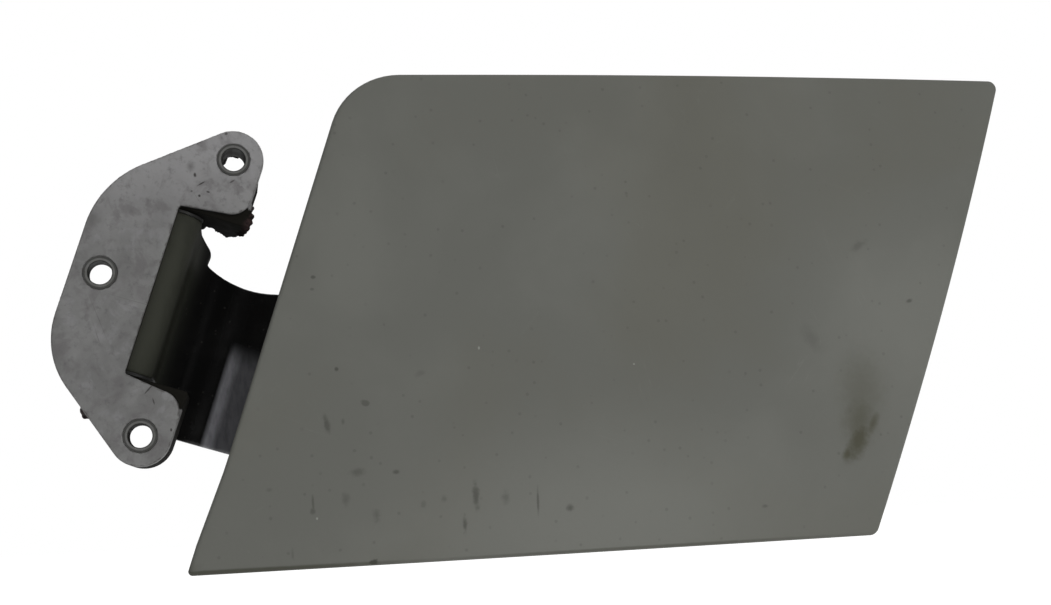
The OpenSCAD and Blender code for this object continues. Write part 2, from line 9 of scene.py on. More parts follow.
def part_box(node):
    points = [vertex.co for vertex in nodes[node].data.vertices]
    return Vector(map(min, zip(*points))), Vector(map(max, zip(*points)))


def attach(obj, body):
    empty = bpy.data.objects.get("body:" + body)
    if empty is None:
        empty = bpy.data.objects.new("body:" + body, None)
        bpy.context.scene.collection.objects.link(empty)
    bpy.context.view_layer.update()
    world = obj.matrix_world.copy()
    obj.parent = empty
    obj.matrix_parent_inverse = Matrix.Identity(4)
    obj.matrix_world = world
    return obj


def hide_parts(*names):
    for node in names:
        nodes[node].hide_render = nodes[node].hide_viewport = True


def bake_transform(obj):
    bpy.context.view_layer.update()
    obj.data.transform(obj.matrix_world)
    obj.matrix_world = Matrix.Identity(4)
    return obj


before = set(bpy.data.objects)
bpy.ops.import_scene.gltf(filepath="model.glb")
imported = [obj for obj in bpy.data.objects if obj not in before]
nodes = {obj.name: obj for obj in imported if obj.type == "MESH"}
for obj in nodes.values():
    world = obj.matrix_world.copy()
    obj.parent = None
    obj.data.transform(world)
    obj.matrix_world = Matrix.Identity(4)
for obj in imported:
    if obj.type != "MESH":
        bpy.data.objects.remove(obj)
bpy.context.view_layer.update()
print("frame loaded with", len(nodes), "CAD pieces")

mm = 0.001
hinge = {"lean": 18.5}
leanCos, leanSin = cos(radians(hinge["lean"])), sin(radians(hinge["lean"]))


# small helpers
def fromHinge(across, deep, along):
    # a place given square to the leaning hinge line, in mm, to metres on the part
    return Vector(((across * leanCos + along * leanSin) * mm, deep * mm,
                   (along * leanCos - across * leanSin) * mm))


def hingeAxes(x, z):
    # how far a place lies across and along the hinge line
    return x * leanCos - z * leanSin, x * leanSin + z * leanCos


def srgb(red, green, blue):
    # a colour as it is read off a screen, 0 to 255
    def linear(value):
        value /= 255
        return value / 12.92 if value <= 0.04045 else ((value + 0.055) / 1.055) ** 2.4
    return (linear(red), linear(green), linear(blue), 1.0)


def linkPiece(name, mesh, material=None):
    piece = bpy.data.objects.new(name, mesh)
    bpy.context.scene.collection.objects.link(piece)
    if material:
        mesh.materials.clear()
        mesh.materials.append(material)
    return piece


def smoothShade(mesh, sharpAngle):
    mesh.shade_smooth()
    mesh.set_sharp_from_angle(angle=radians(sharpAngle))


def meshFrom(name, bm, sharpAngle):
    mesh = bpy.data.meshes.new(name)
    bm.to_mesh(mesh)
    bm.free()
    smoothShade(mesh, sharpAngle)
    return mesh


def bakedMesh(piece):
    graph = bpy.context.evaluated_depsgraph_get()
    return bpy.data.meshes.new_from_object(piece.evaluated_get(graph))


def applied(piece):
    # turns a piece with modifiers into a plain mesh
    mesh, old = bakedMesh(piece), piece.data
    piece.modifiers.clear()
    piece.data = mesh
    bpy.data.meshes.remove(old)
    mesh.name = piece.name
    return mesh


def pointValues(items, key, width, kind=np.float32):
    values = np.empty(len(items) * width, kind)
    items.foreach_get(key, values)
    return values.reshape(-1, width)


def storeValues(mesh, name, values):
    kept = mesh.attributes.new(name, "FLOAT", "POINT")
    kept.data.foreach_set("value", np.asarray(values, np.float32))


def closedBand(bm, a, b):
    # faces between two closed rings with as many points
    for i in range(len(a)):
        j = (i + 1) % len(a)
        bm.faces.new((a[i], b[i], b[j], a[j]))


def turnedMesh(bm, profile, centre, axis, steps=48):
    # spins a list of (radius, height) round an axis that starts at centre
    axis = Vector(axis).normalized()
    side = axis.orthogonal().normalized()
    other = axis.cross(side)
    rings = []
    for radius, height in profile:
        if radius < 1e-9:
            rings.append([bm.verts.new(centre + axis * height)])
            continue
        rings.append([bm.verts.new(centre + axis * height + radius * (
            side * cos(2 * pi * i / steps) + other * sin(2 * pi * i / steps)))
            for i in range(steps)])
    for a, b in zip(rings, rings[1:]):
        for i in range(steps):
            j = (i + 1) % steps
            if len(a) == 1 and len(b) > 1:
                bm.faces.new((a[0], b[i], b[j]))
            elif len(b) == 1 and len(a) > 1:
                bm.faces.new((a[i], b[0], a[j]))
            elif len(a) > 1:
                bm.faces.new((a[i], b[i], b[j], a[j]))


def bentPath(points, radii, steps=8):
    # a line through the points with its corners rounded
    points = [Vector(p) for p in points]
    path = [points[0]]
    for before, at, after, radius in zip(points, points[1:], points[2:], radii):
        back, ahead = (before - at).normalized(), (after - at).normalized()
        half = back.angle(ahead) / 2
        reach = radius / tan(half)
        middle = at + (back + ahead).normalized() * radius / sin(half)
        first, last = at + back * reach - middle, at + ahead * reach - middle
        for i in range(steps + 1):
            path.append(middle + first.normalized().slerp(last.normalized(), i / steps) * radius)
    path.append(points[-1])
    return path


def wireMesh(name, paths, radius, material, sides=5):
    # round bar along each path, closed at its ends
    curve = bpy.data.curves.new(name, "CURVE")
    curve.dimensions = "3D"
    curve.bevel_depth = radius
    curve.bevel_resolution = sides
    curve.use_fill_caps = True
    for path in paths:
        spline = curve.splines.new("POLY")
        spline.points.add(len(path) - 1)
        for point, place in zip(spline.points, path):
            point.co = (*place, 1)
    bar = linkPiece(name, curve)
    mesh = bakedMesh(bar)
    bpy.data.objects.remove(bar)
    bpy.data.curves.remove(curve)
    smoothShade(mesh, 50)
    return linkPiece(name, mesh, material)


# node helpers
def plug(tree, value, socket):
    if isinstance(value, bpy.types.NodeSocket):
        tree.links.new(value, socket)
    else:
        socket.default_value = value


def addNode(tree, kind, values=None, **settings):
    made = tree.nodes.new(kind)
    for key, value in settings.items():
        setattr(made, key, value)
    for key, value in (values or {}).items():
        plug(tree, value, made.inputs[key])
    return made


def outOf(tree, kind, values=None, **settings):
    # the first output of a new node
    return addNode(tree, kind, values, **settings).outputs[0]


def calc(tree, operation, a, b=None, clamp=False):
    values = {0: a} if b is None else {0: a, 1: b}
    return outOf(tree, "ShaderNodeMath", values, operation=operation, use_clamp=clamp)


def plus(tree, a, b):
    return calc(tree, "ADD", a, b)


def minus(tree, a, b):
    return calc(tree, "SUBTRACT", a, b)


def times(tree, total, *others):
    for other in others:
        total = calc(tree, "MULTIPLY", total, other)
    return total


def vectorCalc(tree, operation, a, b):
    return outOf(tree, "ShaderNodeVectorMath", {0: a, 1: b}, operation=operation)


def frontLength(tree, vector):
    # how long a vector is as it is seen from the front
    flat = vectorCalc(tree, "MULTIPLY", vector, (1.0, 0.0, 1.0))
    return addNode(tree, "ShaderNodeVectorMath", {0: flat}, operation="LENGTH").outputs["Value"]


def mixColour(tree, mask, a, b):
    return addNode(tree, "ShaderNodeMix", {0: mask, 6: a, 7: b}, data_type="RGBA").outputs[2]


def stretchTo(tree, value, low, high, toLow=0.0, toHigh=1.0, kind="SMOOTHSTEP"):
    return outOf(tree, "ShaderNodeMapRange", {0: value, 1: low, 2: high, 3: toLow, 4: toHigh},
                 interpolation_type=kind)


def noiseValue(tree, vector, scale, detail=3.0, rough=0.55, twist=0.0):
    return addNode(tree, "ShaderNodeTexNoise", {"Vector": vector, "Scale": scale,
                   "Detail": detail, "Roughness": rough, "Distortion": twist}).outputs["Fac"]


def turnedVector(tree, vector, angle):
    return outOf(tree, "ShaderNodeVectorRotate", {"Vector": vector, "Axis": (0.0, 1.0, 0.0),
                 "Angle": angle}, rotation_type="AXIS_ANGLE")


def splitAxes(tree, vector):
    return addNode(tree, "ShaderNodeSeparateXYZ", {0: vector}).outputs


def startGroup(name, inputs, outputs, kind="ShaderNodeTree"):
    # inputs are (name, type, value), outputs are (name, type)
    tree = bpy.data.node_groups.new(name, kind)
    for label, form, value in inputs:
        socket = tree.interface.new_socket(label, in_out="INPUT", socket_type="NodeSocket" + form)
        if value is not None:
            socket.default_value = value
    for label, form in outputs:
        tree.interface.new_socket(label, in_out="OUTPUT", socket_type="NodeSocket" + form)
    return (tree, tree.nodes.new("NodeGroupInput").outputs,
            tree.nodes.new("NodeGroupOutput").inputs)


# effects shared by several finishes
def buildDust():
    # soft cloudy patches, and fine specks between them
    tree, start, end = startGroup("dustFilm", [
        ("Vector", "Vector", None), ("Patch Size", "Float", 60.0), ("Cover", "Float", 0.5),
        ("Speck Size", "Float", 900.0)], [("Patches", "Float"), ("Specks", "Float")])
    cloud = noiseValue(tree, start["Vector"], start["Patch Size"], 5.0, 0.6, 0.3)
    low = minus(tree, 0.85, start["Cover"])
    plug(tree, stretchTo(tree, cloud, low, plus(tree, low, 0.3)), end["Patches"])
    speck = addNode(tree, "ShaderNodeTexVoronoi", {"Vector": start["Vector"],
                    "Scale": start["Speck Size"]}).outputs
    size = outOf(tree, "ShaderNodeSeparateColor", {0: speck["Color"]})
    near = stretchTo(tree, speck["Distance"], 0.12, 0.28, 1.0, 0.0)
    plug(tree, times(tree, near, stretchTo(tree, size, 0.82, 0.95)), end["Specks"])
    return tree


def buildScratches():
    # hair lines in three directions, broken along their length
    tree, start, end = startGroup("hairScratches", [
        ("Vector", "Vector", None), ("Density", "Float", 300.0), ("Amount", "Float", 0.5)],
        [("Mask", "Float")])
    total = None
    for turn, stretch in ((0.35, 0.04), (1.25, 0.03), (-0.7, 0.05)):
        turned = turnedVector(tree, start["Vector"], turn)
        thin = vectorCalc(tree, "MULTIPLY", turned, (1.0, 1.0, stretch))
        line = noiseValue(tree, thin, start["Density"], 2.0, 0.5)
        line = stretchTo(tree, calc(tree, "ABSOLUTE", minus(tree, line, 0.5)), 0.0, 0.006, 1.0, 0.0)
        gate = stretchTo(tree, noiseValue(tree, turned, 55.0, 2.0), 0.6, 0.72)
        line = times(tree, line, gate)
        total = line if total is None else calc(tree, "MAXIMUM", total, line)
    plug(tree, calc(tree, "MULTIPLY", total, start["Amount"], clamp=True), end["Mask"])
    return tree


def buildMark():
    # one ragged spot, streak or stain at a given place, seen from the front
    tree, start, end = startGroup("placedMark", [
        ("Vector", "Vector", None), ("Centre", "Vector", (0, 0, 0)),
        ("Half Size", "Vector", (0.002, 1.0, 0.002)), ("Turn", "Float", 0.0),
        ("Softness", "Float", 0.5), ("Ragged", "Float", 0.4), ("Strength", "Float", 1.0)],
        [("Mask", "Float")])
    moved = vectorCalc(tree, "SUBTRACT", start["Vector"], start["Centre"])
    turned = turnedVector(tree, moved, start["Turn"])
    far = frontLength(tree, vectorCalc(tree, "DIVIDE", turned, start["Half Size"]))
    rough = minus(tree, noiseValue(tree, start["Vector"], 420.0, 4.0, 0.65), 0.5)
    far = plus(tree, far, times(tree, rough, times(tree, start["Ragged"], 3.0)))
    mask = stretchTo(tree, far, minus(tree, 1.0, start["Softness"]), 1.0, 1.0, 0.0)
    plug(tree, times(tree, mask, start["Strength"]), end["Mask"])
    return tree


def buildPeel():
    # the fine orange-peel skin of sprayed paint, and the grit of a casting under it
    tree, start, end = startGroup("sprayedSkin", [
        ("Vector", "Vector", None), ("Peel Size", "Float", 900.0), ("Grit Size", "Float", 260.0),
        ("Grit", "Float", 0.3)], [("Height", "Float")])
    peel = noiseValue(tree, start["Vector"], start["Peel Size"], 2.0, 0.5)
    grit = noiseValue(tree, start["Vector"], start["Grit Size"], 6.0, 0.7)
    plug(tree, plus(tree, peel, times(tree, grit, start["Grit"])), end["Height"])
    return tree


dustFilm, hairScratches, placedMark, sprayedSkin = (
    buildDust(), buildScratches(), buildMark(), buildPeel())
print("shared effects built")


# finishes
class Paint:
    # a material that is built up in layers over a dusty ground
    def __init__(self, name, patchSize, cover, speckSize):
        self.material = bpy.data.materials.new(name)
        self.material.use_nodes = True
        self.tree = self.material.node_tree
        self.shader = self.tree.nodes["Principled BSDF"].inputs
        self.place = addNode(self.tree, "ShaderNodeTexCoord").outputs["Object"]
        dust = self.effect(dustFilm, {"Patch Size": patchSize, "Cover": cover,
                                      "Speck Size": speckSize})
        self.patches, self.specks = dust["Patches"], dust["Specks"]

    def effect(self, group, values):
        values = {"Vector": self.place, **values}
        return addNode(self.tree, "ShaderNodeGroup", values, node_tree=group).outputs

    def ground(self, mask, clean, dusty):
        self.colour = mixColour(self.tree, mask, clean, dusty)

    def over(self, mask, colour):
        self.colour = mixColour(self.tree, mask, self.colour, colour)

    def scratch(self, density, amount, colour):
        lines = self.effect(hairScratches, {"Density": density, "Amount": amount})
        self.over(lines["Mask"], colour)

    def marks(self, rows):
        # rows are (x, z, half width, half height, turn, softness, ragged, strength) in mm
        total = None
        for x, z, wide, high, turn, soft, ragged, strength in rows:
            mask = self.effect(placedMark, {
                "Centre": (x * mm, 0.0, z * mm), "Half Size": (wide * mm, 1.0, high * mm),
                "Turn": radians(turn), "Softness": soft, "Ragged": ragged,
                "Strength": strength})["Mask"]
            total = mask if total is None else calc(self.tree, "MAXIMUM", total, mask)
        return total

    def attribute(self, name):
        return addNode(self.tree, "ShaderNodeAttribute", attribute_name=name).outputs["Fac"]

    def close(self, rough, dustyRough, skin, relief, strength=0.5):
        # skin is (size of the peel, size of the grit, share of grit), relief is in mm
        tree = self.tree
        plug(tree, self.colour, self.shader["Base Color"])
        plug(tree, plus(tree, rough, times(tree, self.patches, dustyRough)), self.shader["Roughness"])
        height = self.effect(sprayedSkin, dict(zip(("Peel Size", "Grit Size", "Grit"), skin)))
        bump = addNode(tree, "ShaderNodeBump", {"Height": height["Height"],
                       "Distance": relief * mm, "Strength": strength})
        plug(tree, bump.outputs["Normal"], self.shader["Normal"])
        return self.material


primerLook = {"colour": srgb(103, 104, 98), "warm": srgb(100, 99, 89), "pale": srgb(113, 114, 108),
              # the last colour below is painted shade along the door's edges
              "soot": srgb(58, 58, 52), "moss": srgb(62, 60, 38), "paintedHemShade": srgb(58, 58, 45),
              # the first colour below is painted light
              "paintedLight": srgb(126, 127, 121), "fleck": srgb(150, 152, 146),
              "scratch": srgb(124, 125, 120), "roughness": 0.55}


def primerPaint():
    look = primerLook
    paint = Paint("primerPaint", 22.0, 0.42, 420.0)
    tree = paint.tree
    paint.ground(times(tree, paint.patches, 0.55), look["colour"], look["pale"])
    broad = noiseValue(tree, paint.place, 9.0, 3.0, 0.5, 0.4)
    paint.over(stretchTo(tree, broad, 0.5, 0.72, 0.0, 0.5), look["warm"])
    # painted light: broad pale patches where the face is more brightly lit, low in the middle and on
    # the right
    paint.over(paint.marks(doorPaintedLight), look["paintedLight"])
    paint.over(times(tree, paint.marks(doorRubs), 0.6), look["soot"])
    paint.over(times(tree, paint.marks(doorStain), 0.75), look["moss"])
    # painted shade: a dark line along the bottom and left edges, where the folded edge faces away
    # from the light
    paint.over(paint.marks(doorPaintedHemShade), look["paintedHemShade"])
    paint.over(paint.marks(doorFlecks), look["fleck"])
    paint.over(times(tree, paint.specks, 0.25), look["soot"])
    paint.scratch(260.0, 0.22, look["scratch"])
    return paint.close(look["roughness"], 0.12, (700.0, 2400.0, 0.35), 0.06)


def innerPaint():
    paint = Paint("innerPaint", 34.0, 0.5, 520.0)
    paint.ground(times(paint.tree, paint.patches, 0.7), srgb(112, 113, 107), srgb(92, 90, 80))
    paint.over(times(paint.tree, paint.specks, 0.6), srgb(60, 52, 42))
    paint.scratch(240.0, 0.4, srgb(140, 141, 136))
    return paint.close(0.42, 0.2, (600.0, 1800.0, 0.3), 0.08)


# the third colour below is painted light, lighter towards the top
castLook = {"ground": srgb(111, 111, 110), "dusty": srgb(124, 124, 123), "top": srgb(154, 153, 154),
            "mottleDark": srgb(98, 95, 96), "mottlePale": srgb(138, 137, 139),
            "fine": srgb(90, 88, 89), "marks": srgb(48, 44, 42), "scratch": srgb(76, 74, 72),
            # the first colour below is painted shade along the edges, the second a painted highlight
            "paintedRimShade": srgb(72, 69, 66), "pale": srgb(146, 145, 146), "broken": srgb(72, 70, 70),
            # the first colour below is painted shade deep in the recesses; the crust colours are dirt
            "paintedDeepShade": srgb(27, 26, 23), "crust": srgb(25, 22, 23), "crustPale": srgb(58, 46, 45)}


def castGrey():
    look = castLook
    paint = Paint("castGrey", 85.0, 0.5, 900.0)
    tree, place = paint.tree, paint.place
    paint.ground(paint.patches, look["ground"], look["dusty"])
    fine = noiseValue(tree, place, 420.0, 5.0, 0.7)
    height = splitAxes(tree, place)[2]
    # painted light: lighter towards the top
    paint.over(stretchTo(tree, height, 5 * mm, 50 * mm, 0.0, 0.9, "LINEAR"), look["top"])
    mottle = noiseValue(tree, place, 150.0, 4.0, 0.62, 0.4)
    paint.over(stretchTo(tree, mottle, 0.5, 0.66, 0.0, 0.55), look["mottleDark"])
    paint.over(stretchTo(tree, mottle, 0.46, 0.32, 0.0, 0.45), look["mottlePale"])
    paint.over(stretchTo(tree, fine, 0.5, 0.72, 0.0, 0.6), look["fine"])
    paint.over(paint.marks(bracketMarks), look["marks"])
    paint.scratch(420.0, 0.6, look["scratch"])
    # painted shade: a thin dark line along the rounded edges, where they turn away from the light
    paintedRimShade = times(tree, stretchTo(tree, paint.attribute("edge"), 0.35, 0.8),
                    stretchTo(tree, fine, 0.45, 0.6), 0.7)
    paint.over(paintedRimShade, look["paintedRimShade"])
    # painted highlight: pale patches on the upper lobe where the light falls
    pale = times(tree, paint.marks(bracketPaintedHighlight), stretchTo(tree, fine, 0.3, 0.6))
    paint.over(pale, look["pale"])
    paint.over(paint.attribute("broken"), look["broken"])
    # painted shade: faces deep behind the plate, and by the slot, are darkened and dulled
    inside = paint.attribute("paintedDeepShade")
    paint.over(inside, look["paintedDeepShade"])
    dirtAndDeepShade = mixColour(tree, stretchTo(tree, fine, 0.4, 0.6), look["crust"], look["crustPale"])
    paint.over(paint.attribute("crust"), dirtAndDeepShade)
    dull = minus(tree, 0.5, times(tree, inside, 0.42))
    plug(tree, dull, paint.shader["Specular IOR Level"])
    rough = plus(tree, 0.4, times(tree, inside, 0.4))
    return paint.close(rough, 0.15, (1100.0, 500.0, 0.8), 0.12, 0.6)


armLook = {"ground": srgb(20, 20, 20), "dusty": srgb(36, 35, 34), "specks": srgb(80, 78, 72),
           # the second colour below and the levels after it make a painted sheen
           "overspray": srgb(61, 62, 55), "paintedSheen": srgb(168, 168, 174), "scratch": srgb(70, 70, 70),
           "paintedSheenFrom": 38.0, "paintedSheenTo": 60.0,
           "paintedSheenLevels": {0.07: 0.0, 0.14: 1.0, 0.2: 0.9, 0.29: 0.38, 0.95: 0.32}}


def armBlack():
    look = armLook
    paint = Paint("armBlack", 70.0, 0.42, 700.0)
    tree, place = paint.tree, paint.place
    axes = splitAxes(tree, place)
    deep = axes[1]
    across = minus(tree, times(tree, axes[0], leanCos), times(tree, axes[2], leanSin))
    up = plus(tree, times(tree, axes[0], leanSin), times(tree, axes[2], leanCos))
    along = outOf(tree, "ShaderNodeMapping", {"Vector": place, "Rotation": (0.0, -radians(
        hinge["lean"]), 0.0), "Scale": (1.0, 1.0, 0.3)})
    # overspray lies on the barrel's left side; its fade across the barrel is painted shade
    sprayFadeAndShade = calc(tree, "POWER", stretchTo(tree, across, 35.0 * mm, 16.5 * mm), 1.3)
    cloud = noiseValue(tree, along, 220.0, 4.0, 0.6)
    sprayAndShade = times(tree, sprayFadeAndShade, stretchTo(tree, cloud, 0.2, 0.6, 0.8, 1.0))
    paint.ground(times(tree, paint.patches, 0.25), look["ground"], look["dusty"])
    paint.over(times(tree, paint.specks, 0.3), look["specks"])
    front = stretchTo(tree, deep, 34 * mm, 26 * mm)
    paint.over(times(tree, sprayAndShade, front), look["overspray"])
    # a painted sheen down the slope, brightest along its bend
    paintedSheen = addNode(tree, "ShaderNodeValToRGB", {0: stretchTo(
        tree, across, look["paintedSheenFrom"] * mm, look["paintedSheenTo"] * mm, kind="LINEAR")})
    ramp = paintedSheen.color_ramp
    for stop, level in look["paintedSheenLevels"].items():
        ramp.elements.new(stop).color = (level, level, level, 1)
    ramp.elements.remove(ramp.elements[-1])
    ramp.elements[0].color = (0, 0, 0, 1)
    streak = noiseValue(tree, along, 700.0, 3.0, 0.6)
    paint.over(times(tree, paintedSheen.outputs[0], stretchTo(tree, streak, 0.25, 0.7, 0.72, 1.0),
                     stretchTo(tree, up, -4 * mm, -13 * mm),
                     stretchTo(tree, deep, 24 * mm, 27 * mm)), look["paintedSheen"])
    paint.scratch(300.0, 0.2, look["scratch"])
    # the barrel's side stays dull
    dull = times(tree, stretchTo(tree, across, 38.0 * mm, 34.0 * mm),
                 stretchTo(tree, deep, 38 * mm, 34 * mm))
    plug(tree, minus(tree, 0.5, times(tree, dull, 0.44)), paint.shader["Specular IOR Level"])
    rough = plus(tree, 0.2, times(tree, sprayAndShade, 0.3))
    return paint.close(rough, 0.08, (420.0, 1200.0, 0.2), 0.06, 0.35)


def metalFinish(name, light, dark, roughness, metallic, stain):
    paint = Paint(name, 120.0, 0.5, 1400.0)
    paint.ground(paint.patches, light, dark)
    paint.scratch(700.0, 0.5, dark)
    paint.over(times(paint.tree, paint.specks, 0.7), stain)
    paint.shader["Metallic"].default_value = metallic
    return paint.close(roughness, 0.15, (1500.0, 900.0, 0.5), 0.03)


# across and along the hinge line, in mm: the bracket's three bolt holes
boltHoles = ((0.0, 0.0), (25.5, 42.5), (24.3, -40.6))


def sleeveSteel():
    # clean on the clamping face, with painted shade down the hole
    paint = Paint("sleeveSteel", 260.0, 0.5, 1500.0)
    tree = paint.tree
    paint.ground(paint.patches, srgb(108, 108, 107), srgb(98, 98, 95))
    paint.over(paint.specks, srgb(60, 54, 46))
    # a thin dark ring of dirt round the rim of each hole
    near = None
    for across, along in boltHoles:
        gap = vectorCalc(tree, "SUBTRACT", paint.place, fromHinge(across, 0, along))
        gap = frontLength(tree, gap)
        near = gap if near is None else calc(tree, "MINIMUM", near, gap)
    ring = times(tree, stretchTo(tree, near, 4.0 * mm, 4.25 * mm),
                 stretchTo(tree, near, 4.75 * mm, 4.5 * mm), 0.75)
    paint.over(ring, srgb(48, 48, 45))
    # painted shade inside the hole, darker down its bore
    paint.over(stretchTo(tree, near, 3.6 * mm, 3.42 * mm), srgb(40, 40, 37))
    deep = splitAxes(tree, paint.place)[1]
    paint.over(stretchTo(tree, deep, 0.15 * mm, 1.2 * mm), srgb(36, 36, 33))
    paint.shader["Metallic"].default_value = 0.1
    return paint.close(0.55, 0.15, (1500.0, 900.0, 0.5), 0.04)


def softFinish(name, light, dark, roughness):
    paint = Paint(name, 150.0, 0.45, 1600.0)
    paint.ground(paint.patches, dark, light)
    paint.over(times(paint.tree, paint.specks, 0.5), light)
    return paint.close(roughness, 0.1, (1800.0, 700.0, 0.6), 0.05)


# marks on the door's face: x, z, half width, half height, turn, softness, ragged, strength
doorRubs = [
    (61.5, -45.6, 1.2, 3.8, 10, 0.9, 0.5, 0.9), (66.0, -44.9, 0.7, 1.2, 0, 0.8, 0.3, 0.7),
    (72.3, -39.9, 1.6, 0.9, -20, 0.5, 0.5, 0.8), (69.5, -59.2, 3.2, 1.6, 0, 0.9, 0.5, 0.7),
    (80.5, -59.7, 1.3, 0.9, 0, 0.8, 0.3, 1.0), (57.0, -67.2, 0.5, 3.2, 2, 0.7, 0.3, 0.8),
    (56.8, -69.5, 1.1, 1.3, 0, 0.8, 0.4, 0.8), (66.2, -66.8, 1.5, 2.8, 0, 0.9, 0.5, 0.6),
    (74.7, -71.8, 1.6, 2.6, 0, 0.9, 0.6, 0.6), (99.6, -75.6, 0.9, 3.4, 2, 0.8, 0.5, 1.0),
    (103.1, -67.5, 1.5, 4.8, 3, 0.8, 0.5, 1.0), (111.7, -68.3, 1.7, 3.0, 0, 0.9, 0.5, 0.6),
    (121.0, -69.8, 0.5, 5.0, 0, 0.7, 0.3, 0.9), (130.4, -72.4, 1.5, 1.3, 0, 0.8, 0.5, 1.0),
    (88.0, -69.4, 1.2, 1.6, 0, 0.9, 0.5, 0.5), (94.0, -68.0, 1.4, 1.4, 0, 0.9, 0.5, 0.5),
    (51.0, -81.0, 0.6, 2.0, 4, 0.8, 0.4, 0.5), (45.0, -63.0, 1.2, 0.8, 0, 0.9, 0.4, 0.5),
    (58.9, -3.5, 0.9, 0.7, 0, 0.6, 0.3, 1.0), (58.5, -7.0, 0.9, 0.6, 0, 0.7, 0.3, 0.7),
    (64.6, -30.0, 0.8, 0.8, 0, 0.6, 0.4, 1.2), (88.5, -32.0, 2.2, 1.2, 25, 0.9, 0.5, 0.4),
    (207.5, -25.5, 3.4, 7.0, 35, 1.0, 0.3, 0.4), (225.2, 2.5, 5.0, 1.6, 28, 1.0, 0.6, 0.5),
    (240.8, -14.9, 1.5, 0.9, 10, 0.8, 0.4, 1.0), (190.0, -75.0, 1.3, 0.8, 0, 0.8, 0.4, 0.7),
    (73.5, -84.6, 1.6, 1.0, 0, 0.6, 0.6, 1.4)]
doorStain = [
    (221.0, -56.8, 4.5, 9.4, -29, 0.8, 0.25, 1.0), (217.2, -60.8, 2.3, 3.4, -20, 0.9, 0.3, 1.0),
    (225.8, -52.2, 2.6, 6.4, -27, 1.0, 0.2, 0.9), (221.8, -50.0, 8.5, 13.0, -10, 1.0, 0.2, 0.7),
    (223.0, -41.5, 12.0, 17.0, 0, 1.0, 0.2, 0.42)]
# broad pale patches of painted light, where the face is more brightly lit
doorPaintedLight = [(140.0, -78.0, 95.0, 44.0, 0, 1.0, 0.04, 0.55),
            (235.0, -25.0, 45.0, 60.0, 0, 1.0, 0.04, 0.3)]
# painted shade along the bottom and left edges
doorPaintedHemShade = [
    (30.0, -84.9, 75.0, 1.0, 0, 0.7, 0.1, 0.8), (150.0, -84.9, 90.0, 0.7, 0, 0.8, 0.12, 0.5),
    (28.6, -62.0, 2.4, 34.0, -18.5, 1.0, 0.1, 0.6), (21.0, -84.0, 6.0, 5.0, 0, 1.0, 0.2, 0.5)]
doorFlecks = [
    (151.3, -31.6, 0.35, 0.35, 0, 0.6, 0.2, 0.9), (105.5, -25.4, 0.4, 0.6, 0, 0.6, 0.2, 0.8),
    (58.0, -71.6, 0.4, 0.5, 0, 0.6, 0.2, 0.8)]


def fromPlate(rows):
    # rows for the door's face, from rows that give the place across and along the hinge line
    spots = [fromHinge(across, 0, along) / mm for across, along, *_ in rows]
    return [(spot.x, spot.z, *row[2:]) for spot, row in zip(spots, rows)]


bracketMarks = fromPlate([
    (16.5, 34.8, 0.5, 0.9, 0, 0.7, 0.5, 1.0), (19.0, 33.0, 1.8, 0.3, 30, 0.6, 0.4, 1.0),
    (21.5, 31.2, 0.8, 0.4, -20, 0.7, 0.5, 0.9), (17.0, 30.0, 0.5, 0.5, 0, 0.7, 0.5, 0.8),
    (21.3, 49.1, 0.6, 0.5, 0, 0.6, 0.3, 1.0), (19.5, 29.4, 0.45, 0.5, 0, 0.6, 0.3, 1.0),
    (31.9, -36.7, 0.35, 0.6, 0, 0.6, 0.3, 1.0), (22.6, -27.6, 2.6, 0.28, 48, 0.6, 0.5, 0.8),
    (24.9, -30.4, 0.28, 1.3, 15, 0.6, 0.4, 0.8), (-6.6, 13.5, 2.6, 4.6, -18, 1.0, 0.5, 0.35),
    (14.6, 36.8, 1.6, 2.2, 0, 0.9, 0.7, 0.45), (-9.2, -14.0, 0.5, 4.0, 4, 1.0, 0.5, 0.4),
    (27.0, 36.2, 1.2, 0.3, 30, 0.7, 0.5, 0.7), (10.5, 45.0, 0.9, 0.7, 0, 0.8, 0.6, 0.5)])

# patches of painted highlight on the upper lobe
bracketPaintedHighlight = fromPlate([
    (22.0, 46.0, 9.0, 7.0, -30, 1.0, 0.5, 0.5), (32.0, 40.0, 1.2, 9.0, -5, 1.0, 0.5, 0.7),
    (14.0, 30.0, 9.0, 6.0, 20, 1.0, 0.6, 0.25)])

finish = {
    "primer_paint": primerPaint(),
    "inner_paint": innerPaint(),
    "arm_paint": armBlack(),
    "bracket_grey": castGrey(),
    "plated_steel": metalFinish("platedSteel", srgb(168, 166, 158), srgb(120, 114, 100), 0.34, 0.9,
                                srgb(96, 70, 48)),
    "sleeve_steel": sleeveSteel(),
    "spring_steel": metalFinish("springSteel", srgb(104, 104, 104), srgb(60, 58, 56), 0.36, 0.85,
                                srgb(92, 62, 40)),
    "bush_plastic": softFinish("bushPlastic", srgb(58, 58, 56), srgb(36, 36, 36), 0.45),
    "stop_rubber": softFinish("stopRubber", srgb(44, 43, 42), srgb(24, 24, 24), 0.7)}
print("finishes built:", len(finish))


def handOver(piece, body, slot, *stands):
    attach(piece, body)
    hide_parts(*stands)
    print(piece.name, "built:", len(piece.data.polygons), "faces")


